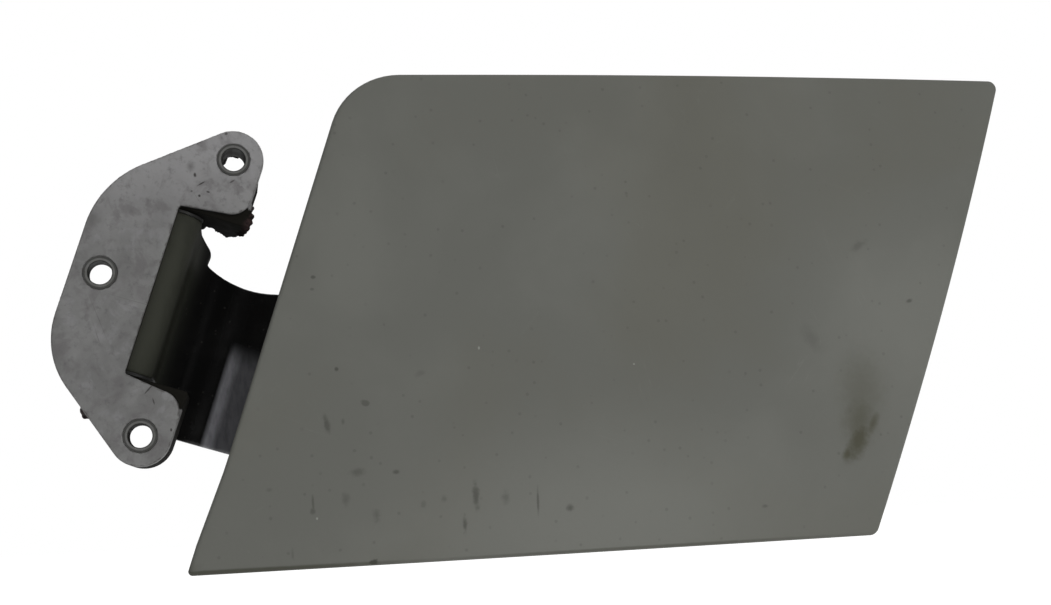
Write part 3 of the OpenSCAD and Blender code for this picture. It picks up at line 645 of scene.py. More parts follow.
# the door's outer sheet
doorShape = {"top": 57.0, "bottom": 85.6, "left": 49.2, "right": 282.0, "rightLean": 21.4,
             "front": 9.0, "crown": 620.0, "sweep": 1900.0,
             "corners": (1.2, 3.0, 2.6, 21.5)}  # bottom left, bottom right, top right, top left
doorLeft, doorRight = doorShape["left"], doorShape["right"]
doorTop, doorBottom = doorShape["top"], doorShape["bottom"]
rightCos, rightTan = cos(radians(doorShape["rightLean"])), tan(radians(doorShape["rightLean"]))
doorLeftTop = doorLeft / leanCos + doorTop * leanSin / leanCos
doorLeftLow = doorLeft / leanCos - doorBottom * leanSin / leanCos
doorRightLow = doorRight - (doorTop + doorBottom) * rightTan
doorMidX = (doorLeftLow + doorRight) / 2
doorMidZ = (doorTop - doorBottom) / 2


def crownDepth(x, z, deep):
    # how far in the crowned sheet lies at a place on the door, deep mm under its face
    out = (doorShape["sweep"] - doorShape["crown"]
           + np.sqrt((doorShape["crown"] - deep) ** 2 - (z - doorMidZ) ** 2))
    return doorShape["sweep"] - doorShape["front"] - np.sqrt(out ** 2 - (x - doorMidX) ** 2)


def doorOutline(inset):
    # the door's edge moved inwards, with as many points at every inset
    flat = [Vector(p) for p in ((doorLeftLow, -doorBottom), (doorRightLow, -doorBottom),
                                (doorRight, doorTop), (doorLeftTop, doorTop))]
    outline = []
    for i, at in enumerate(flat):
        back, ahead = (flat[i - 1] - at).normalized(), (flat[(i + 1) % 4] - at).normalized()
        radius = doorShape["corners"][i]
        half = back.angle(ahead) / 2
        middle = (back + ahead).normalized()
        centre = at + middle * radius / sin(half)
        reach = radius / tan(half)
        first, last = at + back * reach - centre, at + ahead * reach - centre
        start = atan2(first.y, first.x)
        swing = (atan2(last.y, last.x) - start + pi) % (2 * pi) - pi
        steps = max(3, ceil(abs(swing) / radians(6)))
        small = radius - inset
        if small < 0.1:
            centre, small = centre + middle * (0.1 - small) / sin(half), 0.1
        outline += [(centre.x + small * cos(start + swing * k / steps),
                     centre.y + small * sin(start + swing * k / steps)) for k in range(steps + 1)]
    return outline


outerSheet = {"edgeRadius": 1.25, "sheet": 0.8, "hemWidth": 6.5, "gridStep": 5.0, "wave": 0.05,
              "bentCorner": 1.35, "bentFrom": 56.0, "bentWide": 26.0}


def buildDoorSkin():
    look = outerSheet
    fold, sheet = look["edgeRadius"], look["sheet"]
    rings = [(fold - fold * sin(radians(a)), fold - fold * cos(radians(a)))
             for a in range(0, 181, 20)]
    back = 2 * fold
    rings += [(look["hemWidth"] - 0.25, back), (look["hemWidth"] - 0.05, back - 0.1),
              (look["hemWidth"], back - 0.3), (look["hemWidth"], back - sheet + 0.2),
              (look["hemWidth"] - 0.15, back - sheet)]
    rings += [(fold - (fold - sheet) * sin(radians(a)), fold - (fold - sheet) * cos(radians(a)))
              for a in range(180, -1, -45)]
    bm = bmesh.new()
    loops = [[bm.verts.new((x, depth, z)) for x, z in doorOutline(inset)]
             for inset, depth in rings]
    bm.faces.new(loops[0])
    bm.faces.new(loops[-1])
    for a, b in zip(loops, loops[1:]):
        closedBand(bm, a, b)
    step = look["gridStep"]
    for low, high, normal in ((doorLeftLow, doorRight, (1, 0, 0)),
                              (-doorBottom, doorTop, (0, 0, 1))):
        for place in np.arange(low + step * 0.61, high, step):
            bmesh.ops.bisect_plane(bm, geom=bm.verts[:] + bm.edges[:] + bm.faces[:], dist=1e-5,
                                   plane_co=Vector(normal) * place, plane_no=normal)
    bmesh.ops.recalc_face_normals(bm, faces=bm.faces)
    co = np.array([v.co for v in bm.verts])
    wave = look["wave"] * (1 + np.sin(co[:, 0] / 17 + co[:, 2] / 41) * np.sin(co[:, 2] / 23 - 1))
    deep = crownDepth(co[:, 0], co[:, 2], co[:, 1]) + wave
    # the lower left corner is bent outwards a little
    left = co[:, 0] - doorLeftLow - (co[:, 2] + doorBottom) * leanSin / leanCos
    bent = look["bentCorner"] * np.clip((-co[:, 2] - look["bentFrom"]) / 22.0, 0, 1) * np.clip(
        1 - left / look["bentWide"], 0, 1)
    for vert, y, shift in zip(bm.verts, deep, bent):
        vert.co = ((vert.co.x - shift) * mm, y * mm, vert.co.z * mm)
    return linkPiece("doorSkin", meshFrom("doorSkin", bm, 40), finish["primer_paint"])


doorSkin = buildDoorSkin()
handOver(doorSkin, "door", "primer_paint", "outer_skin")

# the pressed inner panel
innerPress = {"sheet": 0.7, "flange": 1.6, "height": 5.9, "wallFrom": 8.2, "wallTo": 11.2,
              "seatFrom": 61.0, "seatTo": 92.6, "seatLow": -39.6, "seatHigh": 15.7, "seatY": 2.0,
              "holeRadius": 19.0, "holes": (191.5, 141.5), "holeDish": 1.4, "beadHeight": 1.1,
              "beadUp": 33, "beadMiddle": 160, "beadLean": 0.36, "beadHalf": 46,
              "margin": 1.4, "evenRim": 18, "cell": 1.3}


def smoothStep(value, low, high):
    t = np.clip((value - low) / (high - low), 0, 1)
    return t * t * (3 - 2 * t)


def smoothMax(a, b, blend):
    h = np.clip(0.5 + (a - b) / (2 * blend), 0, 1)
    return b + (a - b) * h + blend * h * (1 - h)


def roundedBox(u, v, middleU, middleV, halfU, halfV, radius):
    # distance outside a box with round corners
    du = np.abs(u - middleU) - (halfU - radius)
    dv = np.abs(v - middleV) - (halfV - radius)
    return np.hypot(np.maximum(du, 0), np.maximum(dv, 0)) + np.minimum(np.maximum(du, dv), 0) - radius


def doorInset(x, z):
    # how far inside the door's edge a place is, with soft corners
    left = hingeAxes(x, z)[0] - doorLeft
    right = (doorRight - (doorTop - z) * rightTan - x) * rightCos
    inset = -smoothMax(-left, -(doorTop - z), 6.0)
    return -smoothMax(-inset, -np.minimum(right, z + doorBottom), 2.0)


def panelDepth(x, z):
    look = innerPress
    across, along = hingeAxes(x, z)
    depth = look["flange"] + (look["height"] - look["flange"]) * smoothStep(
        doorInset(x, z), look["wallFrom"], look["wallTo"])
    for holeX in look["holes"]:
        far = np.hypot(x - holeX, z - doorMidZ)
        depth = depth - look["holeDish"] * smoothStep(
            -far, -(look["holeRadius"] + 5.5), -(look["holeRadius"] + 1))
    # shallow stiffening beads above and below the lightening holes
    for up in (look["beadUp"], -look["beadUp"]):
        reach = np.abs(x - look["beadMiddle"] - up * look["beadLean"]) - look["beadHalf"]
        far = np.hypot(np.maximum(reach, 0), z - doorMidZ - up)
        depth = depth + look["beadHeight"] * smoothStep(-far, -5.5, -2.0)
    y = crownDepth(x, z, depth)
    outside = roundedBox(across, along, (look["seatFrom"] + look["seatTo"]) / 2,
                         (look["seatLow"] + look["seatHigh"]) / 2,
                         (look["seatTo"] - look["seatFrom"]) / 2,
                         (look["seatHigh"] - look["seatLow"]) / 2, 4.0)
    return smoothMax(y, look["seatY"] - 1.6 * np.maximum(outside, 0), 0.25)


def buildInnerPanel():
    look = innerPress
    zs = np.arange(-doorBottom + look["margin"], doorTop - 1.3, look["cell"])
    side = np.arange(look["margin"], look["evenRim"], look["cell"])
    middle = np.linspace(0, 1, 140)[1:-1]
    bm = bmesh.new()
    rows = []
    for z in zs:
        left = doorLeft / leanCos + z * leanSin / leanCos
        right = doorRight - (doorTop - z) * rightTan
        inner, outer = left + side[-1] / leanCos, right - side[-1] / rightCos
        xs = np.concatenate([left + side / leanCos, inner + (outer - inner) * middle,
                             (right - side / rightCos)[::-1]])
        rows.append([bm.verts.new((x, 0, z)) for x in xs])
    for a, b in zip(rows, rows[1:]):
        for i in range(len(a) - 1):
            bm.faces.new((a[i], a[i + 1], b[i + 1], b[i]))
    # cut the round corner and the lightening holes, then draw the edges onto them
    gone = []
    for face in bm.faces:
        spot = face.calc_center_median()
        inHole = any((spot.x - h) ** 2 + (spot.z - doorMidZ) ** 2 < look["holeRadius"] ** 2
                     for h in look["holes"])
        if inHole or doorArcOutside(spot.x, spot.z) > 0:
            gone.append(face)
    bmesh.ops.delete(bm, geom=gone, context="FACES")
    for vert in bm.verts:
        if not vert.is_boundary:
            continue
        for h in look["holes"]:
            out = Vector((vert.co.x - h, vert.co.z - doorMidZ))
            if abs(out.length - look["holeRadius"]) < 1.6:
                out *= look["holeRadius"] / out.length
                vert.co.x, vert.co.z = h + out.x, doorMidZ + out.y
        far = doorArcOutside(vert.co.x, vert.co.z)
        if -2 < far < 2:
            away = Vector((vert.co.x, vert.co.z)) - arcMiddle
            away *= (away.length - far) / away.length
            vert.co.x, vert.co.z = arcMiddle.x + away.x, arcMiddle.y + away.y
    co = np.array([v.co for v in bm.verts])
    y = panelDepth(co[:, 0], co[:, 2])
    for vert, deep in zip(bm.verts, y):
        vert.co = (vert.co.x * mm, deep * mm, vert.co.z * mm)
    bmesh.ops.recalc_face_normals(bm, faces=bm.faces)
    if sum(face.normal.y for face in bm.faces) < 0:
        bmesh.ops.reverse_faces(bm, faces=bm.faces)
    panel = linkPiece("innerPanel", meshFrom("innerPanel", bm, 60), finish["inner_paint"])
    wall = panel.modifiers.new("wall", "SOLIDIFY")
    wall.thickness = look["sheet"] * mm
    wall.offset = -1
    applied(panel).set_sharp_from_angle(angle=radians(50))
    return panel


def arcOfTopLeft():
    # the middle of the one arc that joins the left and top edges
    at = Vector((doorLeftTop, doorTop))
    down = Vector((-leanSin, -leanCos))
    along = Vector((1, 0))
    half = down.angle(along) / 2
    return at + (down + along).normalized() * doorShape["corners"][3] / sin(half)


arcMiddle = arcOfTopLeft()


def doorArcOutside(x, z):
    # how far outside the panel's arc a place near that corner is, elsewhere well inside
    away = Vector((x, z)) - arcMiddle
    angle = atan2(away.y, away.x)
    nearCorner = z > 25 and x < doorLeftTop + 25
    if nearCorner and (angle > radians(80) or angle < radians(-175)):
        return away.length - (doorShape["corners"][3] - innerPress["margin"])
    return -9.0


innerPanel = buildInnerPanel()
handOver(innerPanel, "door", "inner_paint", "inner_panel")

# the bracket and the arm, with rounded edges
castShapes = {"hinge_bracket": {"voxel": 0.45, "smooth": 3},
              "hinge_arm": {"voxel": 0.5, "smooth": 4}}


def neighbourMean(values, pairs, count):
    total = np.zeros_like(values)
    for a, b in ((0, 1), (1, 0)):
        for axis in range(values.shape[1]):
            total[:, axis] += np.bincount(pairs[:, a], values[pairs[:, b], axis], len(values))
    return total / count[:, None]


def castPiece(name, source, material, lumps=()):
    look = castShapes[source]
    mesh = nodes[source].data.copy()
    bm = bmesh.new()
    bm.from_mesh(mesh)
    bmesh.ops.remove_doubles(bm, verts=bm.verts, dist=2e-6)
    for n, y, t, radius in lumps:
        ball = bmesh.ops.create_icosphere(bm, subdivisions=2, radius=radius * mm)["verts"]
        for i, vert in enumerate(ball):
            vert.co *= 1 + 0.22 * sin(i * 7.3 + n * 5 + y)
            vert.co += fromHinge(n, y, t)
    bm.to_mesh(mesh)
    bm.free()
    piece = linkPiece(name, mesh, material)
    grid = piece.modifiers.new("grid", "REMESH")
    grid.mode = "VOXEL"
    grid.voxel_size = look["voxel"] * mm
    even = piece.modifiers.new("even", "SMOOTH")
    even.factor, even.iterations = 0.5, look["smooth"]
    mesh = applied(piece)
    mesh.shade_smooth()
    # how far each point stands proud of what is round it
    co = pointValues(mesh.vertices, "co", 3).astype(float)
    normal = pointValues(mesh.vertices, "normal", 3)
    pairs = pointValues(mesh.edges, "vertices", 2, np.int32)
    count = np.bincount(pairs.ravel(), minlength=len(co)).astype(float)
    soft = co.copy()
    for _ in range(10):
        soft = neighbourMean(soft, pairs, count)
    proud = ((co - soft) * normal).sum(1) / mm
    storeValues(mesh, "edge", np.clip(proud / 0.45, 0, 1))
    return piece, co, normal


hingeArm, _, _ = castPiece("hingeArm", "hinge_arm", finish["arm_paint"])
handOver(hingeArm, "door", "arm_paint", "hinge_arm")

# crusts of dirt on the broken end and on the lower left edge: across, deep, along, radius
bracketCrust = [(34.3, 4.6, 26.4, 1.5), (34.7, 5.4, 29.0, 1.2), (34.2, 8.0, 25.9, 1.4),
                (34.6, 4.2, 31.2, 0.8), (33.8, 12.5, 25.6, 1.3), (33.0, 17.0, 25.4, 1.2),
                (35.1, 5.2, 27.2, 1.0), (7.0, 5.4, -37.9, 1.2), (7.9, 6.0, -39.3, 1.0)]
hingeBracket, bracketCo, bracketNormal = castPiece("hingeBracket", "hinge_bracket",
                                                   finish["bracket_grey"], bracketCrust)
across, along = hingeAxes(bracketCo[:, 0] / mm, bracketCo[:, 2] / mm)
deepY = bracketCo[:, 1] / mm
tornLine = np.array([[16.8, 32.4], [20.4, 31.4], [21.8, 29.5], [22.5, 21.1], [24.9, 23.0],
                     [26.8, 27.9], [29.3, 30.2], [31.6, 24.5], [33.8, 19.9], [35.1, 18.4]])
tornY = np.interp(across, tornLine[:, 0], tornLine[:, 1])
torn = ((np.abs(deepY - tornY) < 0.9) & (along > 10) & (along < 30) & (across > 15.5))
torn = torn.astype(np.float32)
crust = np.zeros(len(across))
for n, y, t, radius in bracketCrust:
    far = np.sqrt((across - n) ** 2 + (deepY - y) ** 2 + (along - t) ** 2)
    crust = np.maximum(crust, np.clip((radius * 1.35 - far) / (radius * 0.4), 0, 1))
storeValues(hingeBracket.data, "crust", crust)
jag = torn * 0.25 * (np.sin(across * 2.3 + along * 1.7) + 0.6 * np.sin(deepY * 3.9 + across * 1.3))
bracketCo += bracketNormal * (jag * mm)[:, None]
hingeBracket.data.vertices.foreach_set("co", bracketCo.ravel())
storeValues(hingeBracket.data, "broken", torn)
# painted shade: darker the deeper a face lies behind the plate, nearer the front by the slot, and
# half as dark far from the slot
bySlot = (across > 10) & (np.abs(along) < 30.5)
dirtAndDeepShade = np.maximum(smoothStep(deepY, 3.2, 6.0), bySlot * smoothStep(deepY, 0.3, 1.3))
storeValues(hingeBracket.data, "paintedDeepShade", dirtAndDeepShade * (0.5 + 0.5 * smoothStep(across, 3, 9)))
handOver(hingeBracket, "bracket", "bracket_grey", "hinge_bracket")


# repeated fasteners, made by node trees
def fastenerTree(name, sizes):
    # sizes are in mm
    return startGroup(name, [("Geometry", "Geometry", None),
                      *((label, "Float", size * mm) for label, size in sizes.items()),
                      ("Finish", "Material", None)], [("Geometry", "Geometry")],
                      "GeometryNodeTree")


def closeTree(tree, start, end, shape, stretch=None):
    # puts the shape on every point, facing into the car, and makes it real
    faced = outOf(tree, "GeometryNodeTransform", {"Geometry": shape,
                  "Rotation": (-pi / 2, 0.0, 0.0)})
    turn = outOf(tree, "FunctionNodeRandomValue", {"Min": (0.0, 0.0, 0.0),
                 "Max": (0.0, 6.28, 0.0), "Seed": 7}, data_type="FLOAT_VECTOR")
    spun = addNode(tree, "GeometryNodeInstanceOnPoints", {"Points": start["Geometry"],
                   "Instance": faced, "Rotation": turn})
    if stretch:
        reach = outOf(tree, "GeometryNodeInputNamedAttribute", {"Name": stretch},
                      data_type="FLOAT")
        size = outOf(tree, "ShaderNodeCombineXYZ", {"X": 1.0, "Y": reach, "Z": 1.0})
        tree.links.new(size, spun.inputs["Scale"])
    real = outOf(tree, "GeometryNodeRealizeInstances", {"Geometry": spun.outputs[0]})
    coated = outOf(tree, "GeometryNodeSetMaterial", {"Geometry": real,
                   "Material": start["Finish"]})
    tree.links.new(coated, end["Geometry"])


def raised(tree, solid, height):
    lift = outOf(tree, "ShaderNodeCombineXYZ", {"Z": height})
    return outOf(tree, "GeometryNodeTransform", {"Geometry": solid,
                 "Translation": lift})


def barrel(tree, radius, height, low, sides=48):
    solid = outOf(tree, "GeometryNodeMeshCylinder", {"Vertices": sides, "Radius": radius,
                  "Depth": height})
    return raised(tree, solid, plus(tree, times(tree, height, 0.5), low))


def coneOn(tree, low, wide, narrow, height, sides=48):
    solid = outOf(tree, "GeometryNodeMeshCone", {"Vertices": sides, "Radius Top": narrow,
                  "Radius Bottom": wide, "Depth": height})
    return raised(tree, solid, low)


def gathered(tree, made, socket, shapes):
    for shape in shapes:
        tree.links.new(shape, made.inputs[socket])
    return made.outputs[0]


def cutAway(tree, solid, *tools):
    made = addNode(tree, "GeometryNodeMeshBoolean", {0: solid}, operation="DIFFERENCE",
                   solver="EXACT")
    return gathered(tree, made, 1, tools)


def joinShapes(tree, *shapes):
    return gathered(tree, addNode(tree, "GeometryNodeJoinGeometry"), 0, shapes)


def socketScrewTree(sizes):
    tree, start, end = fastenerTree("socketScrews", sizes)
    wide, high, long = start["Head Radius"], start["Head Height"], start["Shank Length"]
    flange = barrel(tree, start["Washer Radius"], 0.8 * mm, 0.0)
    rim, neck = times(tree, high, 0.72), times(tree, wide, 0.84)
    head = barrel(tree, neck, rim, 0.0)
    crown = coneOn(tree, rim, neck, times(tree, wide, 0.70), times(tree, high, 0.28))
    socket = barrel(tree, start["Socket Radius"], high, times(tree, high, 0.4), 6)
    shank = barrel(tree, start["Shank Radius"], long, times(tree, long, -1.0), 32)
    closeTree(tree, start, end, joinShapes(tree, flange, cutAway(tree, head, socket),
                                           cutAway(tree, crown, socket), shank))
    return tree


def domeRivetTree(sizes):
    tree, start, end = fastenerTree("domeRivets", sizes)
    wide, high, grip = start["Head Radius"], start["Head Height"], start["Grip"]
    ball = outOf(tree, "GeometryNodeMeshUVSphere", {"Segments": 32, "Rings": 16,
                 "Radius": wide})
    squash = outOf(tree, "ShaderNodeCombineXYZ", {
        "X": 1.0, "Y": 1.0, "Z": calc(tree, "DIVIDE", high, wide)})
    dome = outOf(tree, "GeometryNodeTransform", {"Geometry": ball, "Scale": squash})
    shank = barrel(tree, start["Shank Radius"], grip, times(tree, grip, -1.0), 24)
    low = times(tree, plus(tree, grip, start["Tail Height"]), -1.0)
    tail = barrel(tree, times(tree, wide, 0.95), start["Tail Height"], low, 24)
    closeTree(tree, start, end, joinShapes(tree, dome, shank, tail))
    return tree


def sleeveTree(sizes):
    tree, start, end = fastenerTree("boltSleeves", sizes)
    hole, long, sink = start["Hole Radius"], start["Length"], start["Countersink"]
    tube = barrel(tree, start["Outer Radius"], long, 0.0, 72)
    bore = barrel(tree, hole, times(tree, long, 2.0), times(tree, long, -0.5), 72)
    funnel = coneOn(tree, -0.01 * mm, plus(tree, hole, sink), hole, sink, 72)
    closeTree(tree, start, end, cutAway(tree, tube, bore, funnel), "reach")
    return tree


def placeFasteners(name, tree, spots, sizes, body, slot, stands, reaches=None):
    mesh = bpy.data.meshes.new(name)
    mesh.from_pydata(spots, [], [])
    if reaches:
        storeValues(mesh, "reach", reaches)
    piece = linkPiece(name, mesh)
    run = piece.modifiers.new("make", "NODES")
    run.node_group = tree
    known = {item.name: item.identifier for item in tree.interface.items_tree
             if item.item_type == "SOCKET" and item.in_out == "INPUT"}
    for label, size in sizes.items():
        run[known[label]] = size * mm
    run[known["Finish"]] = finish[slot]
    smoothShade(applied(piece), 32)
    handOver(piece, body, slot, *stands)


armScrews = {"Head Radius": 5, "Head Height": 2.8, "Washer Radius": 5, "Shank Radius": 2.4,
             "Shank Length": 7.6, "Socket Radius": 2.3}
placeFasteners("armScrews", socketScrewTree(armScrews), [
    fromHinge(72.5, 6.0, 3.3), fromHinge(72.5, 6.0, -29.2), fromHinge(83, 6.0, -12.95)],
    armScrews, "door", "plated_steel", ["arm_screw_upper", "arm_screw_lower", "arm_screw_far"])

boltSleeves = {"Outer Radius": 4.65, "Hole Radius": 3.3, "Length": 10, "Countersink": 0.35}
placeFasteners("boltSleeves", sleeveTree(boltSleeves), [
    fromHinge(across, 0, along) for across, along in boltHoles], boltSleeves, "bracket",
    "sleeve_steel", ["sleeve_upper", "sleeve_middle", "sleeve_lower"], [0.7, 1.0, 1.0])

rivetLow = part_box("striker_rivet_lower")
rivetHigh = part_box("striker_rivet_upper")
strikerLow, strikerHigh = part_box("striker")
strikerRivets = {"Head Radius": 2.72, "Head Height": 1.2, "Tail Height": 1.0,
                 "Grip": (rivetLow[1].y - rivetLow[0].y) / mm - 2.2, "Shank Radius": 1.6}
placeFasteners("strikerRivets", domeRivetTree(strikerRivets), [
    Vector(((low.x + high.x) / 2, high.y - strikerRivets["Head Height"] * mm, (low.z + high.z) / 2))
    for low, high in (rivetLow, rivetHigh)], strikerRivets, "door", "plated_steel",
    ["striker_rivet_lower", "striker_rivet_upper"])


# the striker: a bent bar on a rounded base
strikerShape = {"bar": 4.5, "width": 15.0, "base": 1.6, "bend": 3.2, "corner": 3.0, "baseWide": 13.0}


def buildStriker():
    look = strikerShape
    x = (strikerLow.x + strikerHigh.x) / 2 / mm
    z = (strikerLow.z + strikerHigh.z) / 2 / mm
    low, high = strikerLow.y / mm, strikerHigh.y / mm
    half, top = look["width"] / 2, high - look["bar"] / 2
    path = bentPath([(x * mm, (low + look["base"] - 0.5) * mm, (z - half) * mm),
                     (x * mm, top * mm, (z - half) * mm), (x * mm, top * mm, (z + half) * mm),
                     (x * mm, (low + look["base"] - 0.5) * mm, (z + half) * mm)],
                    [look["bend"] * mm] * 2, 10)
    bar = wireMesh("strikerBar", [path], look["bar"] / 2 * mm, finish["plated_steel"], 8)
    bm = bmesh.new()
    bm.from_mesh(bar.data)
    corners = []
    halfW, halfL = look["baseWide"] / 2, (strikerHigh.z - strikerLow.z) / 2 / mm
    for sx, sz, start in ((1, 1, 0), (-1, 1, 90), (-1, -1, 180), (1, -1, 270)):
        for step in range(7):
            a = radians(start + step * 15)
            corners.append((x + sx * (halfW - look["corner"]) + look["corner"] * cos(a),
                            z + sz * (halfL - look["corner"]) + look["corner"] * sin(a)))
    middle = (x, z)
    rings = []
    for inset, y in ((0.0, low), (0.0, low + look["base"] - 0.35), (0.1, low + look["base"] - 0.1),
                     (0.35, low + look["base"])):
        scaleX, scaleZ = 1 - inset / halfW, 1 - inset / halfL
        rings.append([bm.verts.new(((middle[0] + (cx - middle[0]) * scaleX) * mm, y * mm,
                                    (middle[1] + (cz - middle[1]) * scaleZ) * mm))
                      for cx, cz in corners])
    for a, b in zip(rings, rings[1:]):
        closedBand(bm, a, b)
    bm.faces.new(rings[0])
    bm.faces.new(rings[-1])
    # raised beads of weld where the bar meets its base
    for side in (-1, 1):
        bead = ((1.1, 0.0), (0.75, 0.5), (0.3, 0.9), (-0.1, 1.3))
        turnedMesh(bm, [((look["bar"] / 2 + out) * mm, height * mm) for out, height in bead],
                   Vector((x * mm, (low + look["base"] - 0.05) * mm, (z + side * half) * mm)),
                   (0, 1, 0), 32)
    bmesh.ops.recalc_face_normals(bm, faces=bm.faces)
    bm.to_mesh(bar.data)
    bm.free()
    smoothShade(bar.data, 40)
    return bar


striker = buildStriker()
handOver(striker, "door", "plated_steel", "striker")

# rubber stops with rounded shoulders
stopShape = {"radius": 5.0, "shoulder": 1.6, "stem": 2.5, "height": 6.0}


def buildStops():
    look = stopShape
    bm = bmesh.new()
    for name in ("stop_upper", "stop_lower"):
        low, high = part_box(name)
        centre = Vector(((low.x + high.x) / 2, high.y, (low.z + high.z) / 2))
        r, s = look["radius"], look["shoulder"]
        profile = [(0, 0), (1.1, 0), (1.3, -0.1), (r - s, -0.1)]
        profile += [(r - s + s * sin(radians(a)), -0.1 - s + s * cos(radians(a)))
                    for a in range(15, 91, 15)]
        profile += [(r, -look["height"] + 0.9), (r - 0.35, -look["height"] + 0.5),
                    (r - 0.05, -look["height"] + 0.1), (r - 0.3, -look["height"]),
                    (look["stem"], -look["height"]), (look["stem"], -look["height"] - 0.6)]
        drop = (low.y - high.y) / mm
        profile += [(look["stem"], drop + 1.3), (look["stem"] * 1.3, drop + 1.1),
                    (look["stem"] * 1.25, drop + 0.4), (look["stem"] * 0.9, drop), (0, drop)]
        turnedMesh(bm, [(a * mm, b * mm) for a, b in profile], centre, (0, 1, 0), 48)
    bmesh.ops.recalc_face_normals(bm, faces=bm.faces)
    return linkPiece("rubberStops", meshFrom("rubberStops", bm, 40), finish["stop_rubber"])


rubberStops = buildStops()
handOver(rubberStops, "door", "stop_rubber", "stop_upper", "stop_lower")

# the toggle spring, a bent wire from the bracket to the arm
springShape = {"wire": 0.9, "plane": 15.0, "anchor": (7.1, 29.0), "lug": (7.0, 14.6), "loop": 4.5}


def buildSpring():
    look = springShape
    t = look["plane"]
    (an, ay), (ln, ly) = look["anchor"], look["lug"]
    size = look["loop"]
    arc = [fromHinge(an - size - size * sin(radians(a)), (ay + ly) / 2 + size * cos(radians(a)), t)
           for a in range(0, 181, 12)]
    start = bentPath([fromHinge(an, ay, 27.4), fromHinge(an, ay, t), arc[0]], [1.4 * mm], 6)
    finishEnd = bentPath([arc[-1], fromHinge(ln, ly, t), fromHinge(ln, ly, 8.8)], [1.4 * mm], 6)
    path = start[:-1] + arc + finishEnd[1:]
    return wireMesh("toggleSpring", [path], look["wire"] * mm, finish["spring_steel"], 5)


toggleSpring = buildSpring()
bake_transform(toggleSpring)
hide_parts("toggle_spring")
print("toggle spring built")

# CAD pieces that keep their shape
for name, slot in (("hinge_pin", "plated_steel"), ("pin_clip", "spring_steel"),
                   ("bush_upper", "bush_plastic"), ("bush_lower", "bush_plastic"),
                   ("arm_nut_plate", "plated_steel")):
    piece = nodes[name]
    if piece.material_slots:
        piece.material_slots[0].material = finish[slot]
    else:
        piece.data.materials.append(finish[slot])
print("kept pieces finished")

# floor, light and camera
stage = {"floorLevel": -0.2, "floorSize": 8.0, "skyLevel": 0.6, "skyBehind": 0.45,
         "frontDark": 0.02, "behindGlow": 0.04, "ceilingGlow": 0.5, "floorGlow": 0.74,
         "keyPower": 14.5, "backPower": 9.0, "aim": (0.12, 0, -0.02)}


def floorFinish():
    material = bpy.data.materials.new("paleFloor")
    material.use_nodes = True
    tree = material.node_tree
    shader = tree.nodes["Principled BSDF"]
    shader.inputs["Base Color"].default_value = (0.9, 0.9, 0.9, 1)
    shader.inputs["Roughness"].default_value = 0.9
    shader.inputs["Specular IOR Level"].default_value = 0.0
    ray = addNode(tree, "ShaderNodeLightPath").outputs
    seen = calc(tree, "MAXIMUM", ray["Is Camera Ray"], ray["Is Transmission Ray"])
    seen = plus(tree, seen, times(tree, ray["Is Glossy Ray"], 0.1))
    glow = addNode(tree, "ShaderNodeEmission", {"Strength": times(tree, seen, stage["floorGlow"])})
    both = addNode(tree, "ShaderNodeAddShader", {0: shader.outputs[0], 1: glow.outputs[0]})
    tree.links.new(both.outputs[0], tree.nodes["Material Output"].inputs["Surface"])
    return material


half = stage["floorSize"] / 2
floorMesh = bpy.data.meshes.new("floor")
floorMesh.from_pydata([(x * half, y * half, stage["floorLevel"]) for x, y in (
    (-1, -1), (1, -1), (1, 1), (-1, 1))], [], [(0, 1, 2, 3)])
floor = linkPiece("floor", floorMesh, floorFinish())

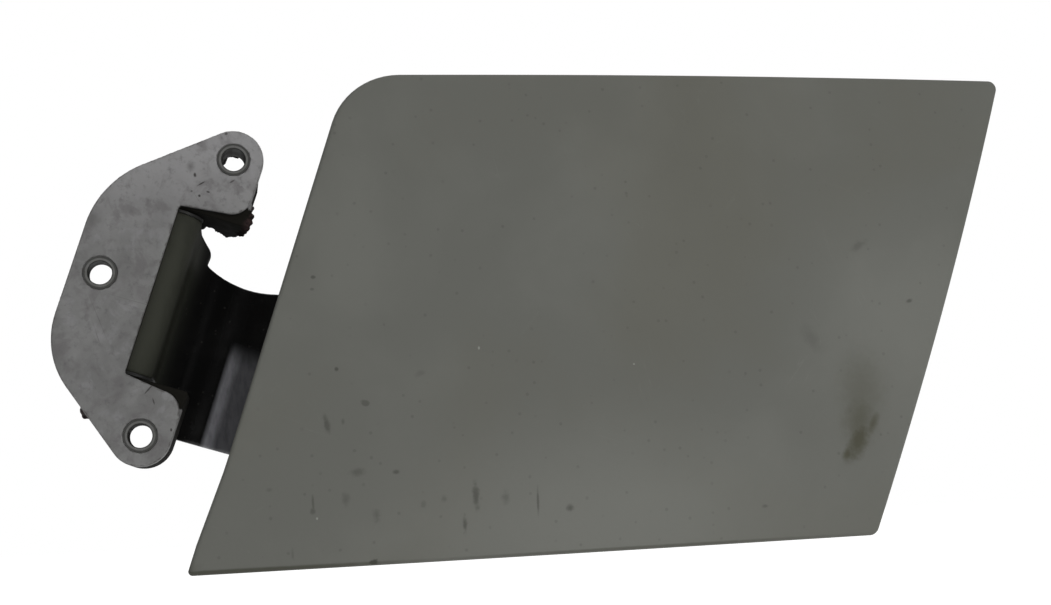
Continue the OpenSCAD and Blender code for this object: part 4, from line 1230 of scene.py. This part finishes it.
world = bpy.data.worlds.new("paleRoom")
bpy.context.scene.world = world
world.use_nodes = True
sky = world.node_tree
background = sky.nodes["Background"]
background.inputs["Color"].default_value = (1, 1, 1, 1)
ray = addNode(sky, "ShaderNodeLightPath").outputs
toward = splitAxes(sky, addNode(sky, "ShaderNodeTexCoord").outputs["Generated"])
behind = stretchTo(sky, toward[1], -0.1, 0.3, stage["frontDark"], stage["behindGlow"])
above = stretchTo(sky, toward[2], 0.45, 0.9, 0.0, stage["ceilingGlow"])
seen = calc(sky, "MAXIMUM", ray["Is Camera Ray"], ray["Is Transmission Ray"])
glossy = times(sky, ray["Is Glossy Ray"], plus(sky, behind, above))
other = minus(sky, 1.0, calc(sky, "MAXIMUM", seen, ray["Is Glossy Ray"]))
diffuse = stretchTo(sky, toward[1], 0.5, -0.5, stage["skyLevel"] * stage["skyBehind"],
                    stage["skyLevel"])
level = plus(sky, plus(sky, seen, glossy), times(sky, other, diffuse))
sky.links.new(level, background.inputs["Strength"])


def softLight(name, place, wide, high, power):
    # a panel of light that no glossy face mirrors
    lamp = bpy.data.lights.new(name, "AREA")
    lamp.shape = "RECTANGLE"
    lamp.size, lamp.size_y = wide, high
    lamp.energy = power
    light = linkPiece(name, lamp)
    back = (Vector(place) - Vector(stage["aim"])).normalized()
    light.matrix_world = Matrix.Translation(place) @ back.to_track_quat("Z", "Y").to_matrix().to_4x4()
    light.visible_glossy = False


softLight("keyLight", (0.85, -1.45, -0.12), 1.0, 0.8, stage["keyPower"])
softLight("backLight", (0.3, 1.7, 0.9), 1.2, 1.0, stage["backPower"])

view = {"place": (0.03304, -0.42387, -0.06469), "left": -11.8, "up": -7.0, "roll": -2.9,
        "lens": 36 * 1470 / 1051}
side, tilt, roll = (radians(view[key]) for key in ("left", "up", "roll"))
backward = Vector((sin(side) * cos(tilt), -cos(side) * cos(tilt), sin(tilt)))
right = (-backward).cross(Vector((0, 0, 1))).normalized()
up = right.cross(-backward)
rightRolled = right * cos(roll) + up * sin(roll)
upRolled = -right * sin(roll) + up * cos(roll)
lens = bpy.data.cameras.new("photoView")
lens.lens = view["lens"]
lens.sensor_width = 36
lens.clip_start = 0.01
camera = linkPiece("photoView", lens)
turn = Matrix((rightRolled, upRolled, backward)).transposed().to_4x4()
camera.matrix_world = Matrix.Translation(view["place"]) @ turn
bpy.context.scene.camera = camera
bpy.context.scene.view_settings.view_transform = "Standard"
print("stage and camera set")
